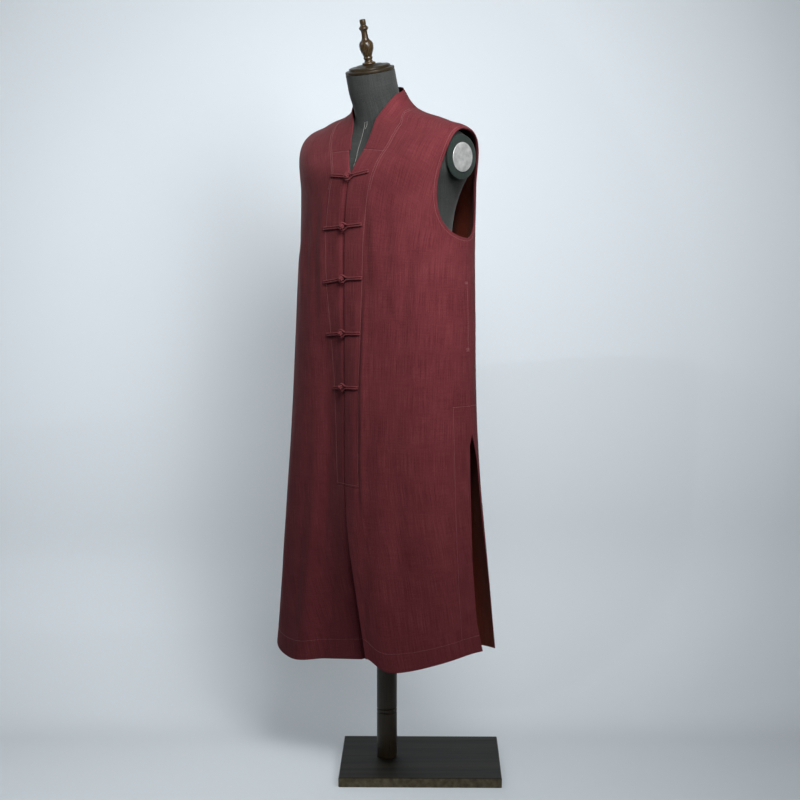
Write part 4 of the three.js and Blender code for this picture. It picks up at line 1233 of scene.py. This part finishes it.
def band_cells(side, place, first, dips=True):
    """(angle, level, lift) across a band, from a distance off its closing edge to its seam."""
    columns = []
    for out in even(first, BAND, 5):
        angle, level = on_band(side, place, float(out))
        lift = dip(side, place, out) if dips else np.zeros(len(angle))
        columns.append(np.stack([angle, level, lift], -1))
    return np.stack(columns, 1)


def outer_edge(rows, seam, armhole):
    """Angle and level of a panel's outer edge: its side seam to the armpit, then its armhole."""
    level, on_seam = row_level(rows), rows <= SEAM_ROWS
    arm = border(armhole, np.clip((rows - SEAM_ROWS) / ARM_ROWS, 0, 1))
    angle = np.interp(level, seam[:, 1], seam[:, 0])
    return np.where(on_seam, angle, arm[0]), np.where(on_seam, level, arm[1])


def between(inner, outer, share):
    """Values that run from a panel's inner edge to its outer one."""
    return inner[:, None] * (1 - share) + outer[:, None] * share


def front_cells(side):
    """The left or right front: the closing strip below the bands, then the panel itself."""
    rows = panel_rows
    level = row_level(rows)
    climb = np.clip((rows - SEAM_ROWS) / ARM_ROWS, 0, 1)
    place = station(side, rows)
    strip = band_cells(side, place, 0.0 if side > 0 else -UNDERLAP)
    strip[..., 1] = level[:, None]
    strip[rows > KNEE_ROW] = np.nan
    inner_angle, inner_level = on_band(side, place, BAND + GAP)
    free = np.clip(rows - KNEE_ROW, 0, 1)
    inner_level = np.where(rows <= KNEE_ROW + 1, level * (1 - free) + inner_level * free, inner_level)
    outer_angle, outer_level = outer_edge(rows, FRONT_SIDE, FRONT_ARMHOLE)
    # a hair short of the side seam and, at the top, of the shoulder seam
    arm_angle = np.minimum(outer_angle, 90 - SHORT + 4 * (climb < 0.9))
    outer_angle = np.where(rows <= SEAM_ROWS, outer_angle - SIDE_SHORT, arm_angle)
    inner_angle = side * np.minimum(np.abs(inner_angle), 90 - SHORT)
    share = even(0, 1, 1 / 62, edge=0.004)[None, :]
    angle = between(inner_angle, side * outer_angle, share)
    lift = dip(side, place[:, None], BAND + PANEL_WIDTH * share) * (rows < KNEE_ROW)[:, None]
    panel = np.stack([angle, between(inner_level, outer_level, share), lift], -1)
    return np.concatenate([strip, panel], 1)


for side, side_name in SIDES:
    front = cloth_piece(f"front_{side_name}_cloth", [front_cells(side)], [maroon, reverse])
    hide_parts(f"front_{side_name}")

# ----------------------------------------
# Back. One panel from side seam to side seam, cut on the fold, and joined to the fronts at the
# shoulders and down the side seams to the slits.
# ----------------------------------------
def back_cells(side):
    """Half the back, from its middle to the side seam and the armhole."""
    rows = panel_rows
    level = row_level(rows)
    above = rows - SEAM_ROWS - LAPEL_ROWS
    nape_level = float(on_band(side, np.array([float(NAPE)]), BAND + GAP)[1][0])
    centre_level = np.where(
        rows <= SEAM_ROWS, level, ARMPIT + (nape_level - ARMPIT) * (rows - SEAM_ROWS) / LAPEL_ROWS
    )
    place = NAPE + (SHOULDER_PLACE[side] - NAPE) * np.clip(above, 0, None) / NECK_ROWS
    neck_angle, neck_level = on_band(side, place, BAND + GAP)
    at_neck = above > 0
    inner_angle = np.where(at_neck, np.maximum(np.abs(neck_angle), 90 + SHORT), 180.0)
    inner_level = np.where(at_neck, neck_level, centre_level)
    outer_angle, outer_level = outer_edge(rows, BACK_SIDE, BACK_ARMHOLE)
    arm_angle = np.maximum(outer_angle, 90 + SHORT)
    outer_angle = np.where(rows <= SEAM_ROWS, outer_angle + SIDE_SHORT, arm_angle)
    share = even(0, 1, 1 / 56, edge=0.005)[None, :]
    angle = between(inner_angle, outer_angle, share)
    return np.stack([side * angle, between(inner_level, outer_level, share), np.zeros(angle.shape)], -1)


back = cloth_piece("back_cloth", [back_cells(1), back_cells(-1)], [maroon, reverse])
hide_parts("back")

# ----------------------------------------
# Placket bands. A doubled strip down each closing edge, from the cross seam at the collar to
# its foot at the knee. The right one runs on under the left one.
# ----------------------------------------
def placket_cells(side):
    """A band from its foot at the knee to the cross seam, with its underlap on the right."""
    rows = np.unique(np.concatenate([
        panel_rows[(panel_rows >= KNEE_ROW) & (panel_rows <= SEAM_ROWS + LAPEL_ROWS)],
        [SEAM_ROWS + LAPEL_ROWS - 0.04],
    ]))
    place = station(side, rows)
    place[0] += 0.001
    first = 0.0 if side > 0 else -UNDERLAP
    cells = band_cells(side, place, first)
    # the underlap stops below the neckline
    cells[np.ix_(place >= NECKLINE - 0.1, even(first, BAND, 5) < 0)] = np.nan
    return cells


for side, side_name in SIDES:
    band = cloth_piece(f"placket_{side_name}_cloth", [placket_cells(side)], [maroon, maroon])
    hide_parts(f"placket_{side_name}")

# ----------------------------------------
# Collar band. The same strip goes on round the neck in one length, from one cross seam over
# the shoulders and the nape to the other, and stands against the neck.
# ----------------------------------------
def collar_cells(side):
    """Half the collar, from the cross seam over the shoulder to the nape."""
    first = SEAM_ROWS + LAPEL_ROWS
    front_places = station(side, np.linspace(first, first + NECK_ROWS, 31))
    back_places = np.linspace(SHOULDER_PLACE[side], NAPE, 29)[1:]
    places = np.concatenate([front_places, back_places])
    places = np.insert(places, 1, places[0] + 0.03)
    places[0] += 0.002
    return band_cells(side, places, 0.0, dips=False)


collar = cloth_piece("collar_cloth", [collar_cells(1), collar_cells(-1)], [maroon, maroon])
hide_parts("collar_band")

# ----------------------------------------
# Armhole facings. A strip of the vest's own cloth lies on the inside of each armhole, follows
# its curve, and is sewn round its edge and caught down.
# ----------------------------------------
FACING, FACING_WIDTH = 1.0, 28.0
ARMHOLE_MIDDLE = (92.0, 7.1)  # angle and level


def facing_cells(side):
    """A ring round an armhole, from its edge to the facing's free edge, under the cloth."""
    share = np.linspace(0, 1, 61)[:-1]
    front = border(FRONT_ARMHOLE, share)
    behind = border(BACK_ARMHOLE, 1 - share)
    angle, level = np.concatenate([front, behind], axis=1)
    here = vest(angle, level)
    along = np.roll(here, -1, axis=0) - np.roll(here, 1, axis=0)
    heading = np.cross(along, outward(vest, angle, level))
    heading /= np.linalg.norm(heading, axis=1, keepdims=True)
    away = here - vest(*ARMHOLE_MIDDLE)
    heading[(heading * away).sum(-1) < 0] *= -1
    columns = []
    for out in (0.6, 2.0, 6.0, 10.0, 14.0, 18.5, 23.0, 26.7, FACING_WIDTH):
        at_angle, at_level = walk(angle, level, heading, out)
        lift = -CLOTH - 0.8 - 2.2 * smooth((out - 2) / 12)
        column = np.stack([side * at_angle, at_level, np.full(len(angle), lift)], -1)
        columns.append(np.vstack([column, column[:1]]))
    return np.stack(columns, 1)


for side, side_name in SIDES:
    facing = cloth_piece(
        f"facing_{side_name}_cloth", [facing_cells(side)], [maroon, maroon],
        wall=FACING, roll=0.2,
    )
    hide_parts(f"armhole_facing_{side_name}")

# ----------------------------------------
# Frog closures. Five pairs of cloth cord, rolled on the bias round a cotton core. The left half
# is a long loop, the right a double bar that ends in a woven ball, and both are sewn down flat.
# ----------------------------------------
CORD, BALL, LEG = 1.8, 5.4, 1.85  # cord radius, ball radius, half the step between two legs
# Level of the ball, its way right of the closing edge, both half lengths in millimetres, rise of
# the loop and drop of the bar in degrees.
FROGS = [
    (7.79, 3.7, 49, 49, 12.6, -2), (6.19, 2, 47, 58, 6, 5), (4.72, 2.4, 50, 56, 3.6, 9),
    (3.81, 5.3, 49, 51, 3, 6), (3.1, 5.5, 47, 38, 2.7, 7),
]

cord_cloth = woven(
    "frog cord cloth", (84, 34, 40), (118, 55, 60), (152, 84, 88), threads=1500.0, slub=0.8,
    sheen=0.08, tint=(1.0, 0.6, 0.6), rough=0.84, bump_height=0.0002,
)


def frog_points(frog, half, places):
    """Points of a frog in millimetres, from (out, aside, height) off its ball's foot."""
    places = np.asarray(places, float)
    level, shift, _, _, rise, drop = frog
    tilt = math.radians(rise if half > 0 else -drop)
    heading = np.array([half * math.cos(tilt), 0, math.sin(tilt)])
    foot = on_band(1, place_of_level(1, level)[None], 0)
    foot = walk(foot[0], foot[1], (-1, 0, 0), shift)
    out = np.maximum(places[:, 0], 0.5)
    angle, height = np.full(len(out), foot[0][0]), np.full(len(out), foot[1][0])
    for _ in range(2):  # half the way twice, so that the walk bends with the cloth
        angle, height = walk(angle, height, heading, out / 2)
    n = outward(vest, angle, height)
    along = heading - n * (n @ heading)[:, None]
    along /= np.linalg.norm(along, axis=1, keepdims=True)
    sideways = np.cross(n, along)
    point = hung(angle, height) + n * places[:, 2:3] + sideways * places[:, 1:2]
    return point + along * np.minimum(places[:, :1] - 0.5, 0)


def round_cord(points, radius, closed=False, sides=9):
    """A cord along points: rings, faces and bias-cut cloth coordinates. It tapers at its ends."""
    points = np.asarray(points, float)
    if closed:
        ahead = np.roll(points, -1, axis=0) - np.roll(points, 1, axis=0)
    else:
        ahead = np.gradient(points, axis=0)
    ahead /= np.linalg.norm(ahead, axis=1, keepdims=True)
    frame_up = np.cross(ahead[0], [0.3, 0.2, 1.0])
    ups = []
    for direction in ahead:
        frame_up = frame_up - direction * (frame_up @ direction)
        frame_up = frame_up / np.linalg.norm(frame_up)
        ups.append(frame_up)
    ups = np.array(ups)
    turn = np.linspace(0, 2 * math.pi, sides, endpoint=False)
    wide = np.full(len(points), float(radius))
    if not closed:
        wide[[0, -1]] *= 0.45
        wide[[1, -2]] *= 0.85
    ring = (ups[:, None] * np.cos(turn)[None, :, None]
            + np.cross(ahead, ups)[:, None] * np.sin(turn)[None, :, None])
    verts = (points[:, None] + ring * wide[:, None, None]).reshape(-1, 3)
    run = np.concatenate([[0], np.cumsum(np.linalg.norm(np.diff(points, axis=0), axis=1))])
    faces, maps = [], []
    rows = len(points) if closed else len(points) - 1
    for i in range(rows):
        j = (i + 1) % len(points)
        end = run[i] + np.linalg.norm(points[j] - points[i])
        for k in range(sides):
            m = (k + 1) % sides
            faces.append([i * sides + k, i * sides + m, j * sides + m, j * sides + k])
            girth = 2 * math.pi * radius / sides
            square = [(k * girth, run[i]), ((k + 1) * girth, run[i]), ((k + 1) * girth, end),
                      (k * girth, end)]
            maps += [((u + v) * MM, (v - u) * MM) for u, v in square]
    if not closed:
        for row, order in ((0, range(sides - 1, -1, -1)), (len(points) - 1, range(sides))):
            faces.append([row * sides + k for k in order])
            maps += [(0.001 * k, 0.0) for k in range(sides)]
    return verts, faces, maps


def cord_piece(name, cords, replaced):
    """Joins cords into one frog half."""
    verts, faces, maps = [], [], []
    for points, more_faces, more_maps in cords:
        start = sum(len(v) for v in verts)
        verts.append(points)
        faces += [[v + start for v in face] for face in more_faces]
        maps += more_maps
    data = bpy.data.meshes.new(name)
    data.from_pydata([tuple(v) for v in np.vstack(verts) * MM], [], faces)
    set_cloth_map(data, maps)
    piece = add_piece(data, [cord_cloth])
    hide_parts(replaced)


def rounded(path, steps=9):
    """A smooth curve through the rows of a path."""
    path = np.array(path, float)
    return read(path, np.linspace(0, len(path) - 1, steps * (len(path) - 1) + 1))


def frog_loop(frog, number):
    """One cord that leaves the far end, rounds the ball and comes back beside itself."""
    end, ring, low = frog[2], BALL + CORD + 0.7, CORD + 0.15
    leg = [(end + 0.6, 0.75 * LEG, low - 1.5), (end - 1.3, LEG, low), (end * 0.7, LEG, low),
           (end * 0.4, LEG, low), (12, LEG + 0.2, low), (7.5, LEG + 2.0, low + 0.5),
           (2.5, ring - 1.0, low + 1.6), (-3, ring - 1.4, low + 3.2), (-ring + 1.2, 3.3, low + 3.8)]
    back = [(out, -aside, height) for out, aside, height in reversed(leg)]
    path = rounded(leg + [(-ring + 0.5, 0, low + 3.9)] + back)
    cord = round_cord(frog_points(frog, 1, path), CORD)
    cord_piece(f"frog_loop_{number}_cord", [cord], f"frog_loop_{number}")


def frog_knot(frog, number):
    """A double bar, and a ball of three strands plaited round and round with four bights."""
    end, low = frog[3], CORD + 0.15
    cords = []
    for aside in (-LEG, LEG):
        leg = [(end + 0.6, 0.75 * aside, low - 1.5), (end - 1.3, aside, low), (end * 0.6, aside, low),
               (end * 0.3, aside, low), (9.5, 0.85 * aside, low + 0.3), (5.0, 0.5 * aside, low + 2.4),
               (2.6, 0.4 * aside, low + 4.4)]
        cords.append(round_cord(frog_points(frog, -1, rounded(leg, 6)), CORD))
    foot, beside, over = frog_points(frog, -1, [(0.5, 0, 0), (1.5, 0, 0), (0.5, 0, 1)])
    bar, up = beside - foot, over - foot
    bar, up = bar / np.linalg.norm(bar), up / np.linalg.norm(up)
    across = np.cross(up, bar)
    middle = foot + up * (BALL + 1.7)
    turn = np.linspace(0, 6 * math.pi, 150, endpoint=False)
    tilt = math.radians(54) * np.cos(4 * turn / 3)
    out = BALL - 1.5 + 0.75 * np.sin(8 * turn / 3)
    strand = middle + out[:, None] * (
        bar * np.sin(tilt)[:, None]
        + np.cos(tilt)[:, None] * (up * np.cos(turn)[:, None] + across * np.sin(turn)[:, None]))
    cords.append(round_cord(strand, 1.42, closed=True, sides=8))
    # the core that the strands are pulled tight on
    core = np.vstack([middle + bar * t for t in np.linspace(-3.4, 3.4, 7)])
    cords.append(round_cord(core, 3.4, sides=10))
    cord_piece(f"frog_knot_{number}_cord", cords, f"frog_knot_{number}")


for number, frog in enumerate(FROGS, 1):
    frog_loop(frog, number)
    frog_knot(frog, number)

# ----------------------------------------
# Sewing. Topstitching along the bands, hems, slits and armholes, in thread a shade paler than
# the cloth, with a bar tack at both ends of each pocket opening in the side seam.
# ----------------------------------------
maroon_thread = thread_finish("maroon thread", (136, 76, 79), (186, 120, 121))
ON_TOP = 0.12  # how far a thread's middle lies off the cloth, millimetres
HEM_ROW = 0.54  # the row that the turned hem's stitches follow, 36 mm up
POCKET_FOOT, POCKET_TOP = 3.62, 4.65  # levels of the pocket opening's ends


def band_line(side, first, last, out):
    """A line along a band between two rows, at one distance from the neckline."""
    place = station(side, np.linspace(first, last, 140))
    angle, level = on_band(side, place, out)
    return hung(angle, level, dip(side, place, out) + ON_TOP) * MM


def hem_line(cells):
    """A line along a panel's turned hem, from the panel's own grid."""
    k = int(np.searchsorted(panel_rows, HEM_ROW))
    angle, level, lift = ((cells[k - 1] + cells[k]) / 2)[2:-2].T
    return hung(angle, level, lift + ON_TOP) * MM


def slit_line(side, path, steps=120):
    """A line on a front near its slit through angles and levels."""
    angle, level = read(np.array(path, float), np.linspace(0, len(path) - 1, steps)).T
    return hung(side * angle, level, ON_TOP) * MM


def armhole_line(side, distance):
    """Lines round the front and the back part of an armhole, a distance from its edge."""
    runs = []
    for border_rows in (FRONT_ARMHOLE, BACK_ARMHOLE):
        angle, level = border(border_rows, np.linspace(0.012, 0.985, 90))
        here = vest(angle, level)
        heading = np.cross(np.gradient(here, axis=0), outward(vest, angle, level))
        away = here - vest(*ARMHOLE_MIDDLE)
        heading[(heading * away).sum(-1) < 0] *= -1
        heading /= np.linalg.norm(heading, axis=1, keepdims=True)
        at_angle, at_level = walk(angle, level, heading, distance)
        runs.append(hung(side * at_angle, at_level, ON_TOP) * MM)
    return runs


top_row = SEAM_ROWS + LAPEL_ROWS
lines = {"front_left": [], "front_right": [], "back": [], "bands": []}
for side, name in ((1, "front_left"), (-1, "front_right")):
    lines["bands"] += [
        band_line(side, KNEE_ROW + 0.1, top_row - 0.1, BAND - 2.2),
        band_line(side, top_row + 0.05, top_row + NECK_ROWS, BAND - 2.2),
    ]
    cross = np.linspace(2, BAND - 2, 24)
    for row, shift in ((KNEE_ROW, 0.06), (top_row, -0.12)):
        at = [on_band(side, station(side, np.array([row + shift])), float(out)) for out in cross]
        angle = np.array([float(a[0][0]) for a in at])
        level = np.array([float(a[1][0]) for a in at])
        lift = dip(side, np.full(len(cross), station(side, np.array([row]))[0]), cross)
        lines["bands"].append(hung(angle, level, lift + ON_TOP) * MM)
    # the fronts: beside the collar, the turned hem, the slit's facing and the armhole
    lines[name] += [
        band_line(side, top_row - 4, top_row + NECK_ROWS, BAND + 2.6),
        hem_line(front_cells(side)),
        slit_line(side, [(80, 0.23), (80, 1), (80, 2), (80, 2.92)]),
        slit_line(side, [(80, 2.92), (84, 2.92), (90.6, 2.92)], 40),
    ]
    front_arm, back_arm = armhole_line(side, 6.0)
    lines[name].append(front_arm)
    # the back: hem, slit facing and armhole
    lines["back"] += [
        hem_line(back_cells(side)),
        slit_line(side, [(117, 0.23), (114, 1), (109, 2), (104, 2.92)]),
        slit_line(side, [(104, 2.92), (98, 2.92), (92.4, 2.92)], 40),
        back_arm,
    ]
    # pocket mouth in the side seam
    lines[name].append(slit_line(side, [(90.9, POCKET_FOOT), (91.0, 4.1), (91.1, POCKET_TOP)], 60))
for name, piece_lines in lines.items():
    stitched(f"stitches_{name}", piece_lines, maroon_thread, thickness=0.0007)
tacks = []
for side in (1, -1):
    for level in (POCKET_FOOT, POCKET_TOP):
        for step in np.linspace(-0.02, 0.02, 5):
            tack = [(angle, level + step) for angle in (89.6, 90.4, 91.3)]
            tacks.append(slit_line(side, tack, 12))
stitched("pocket_bar_tacks", tacks, maroon_thread, pitch=0.002, length=0.0024)
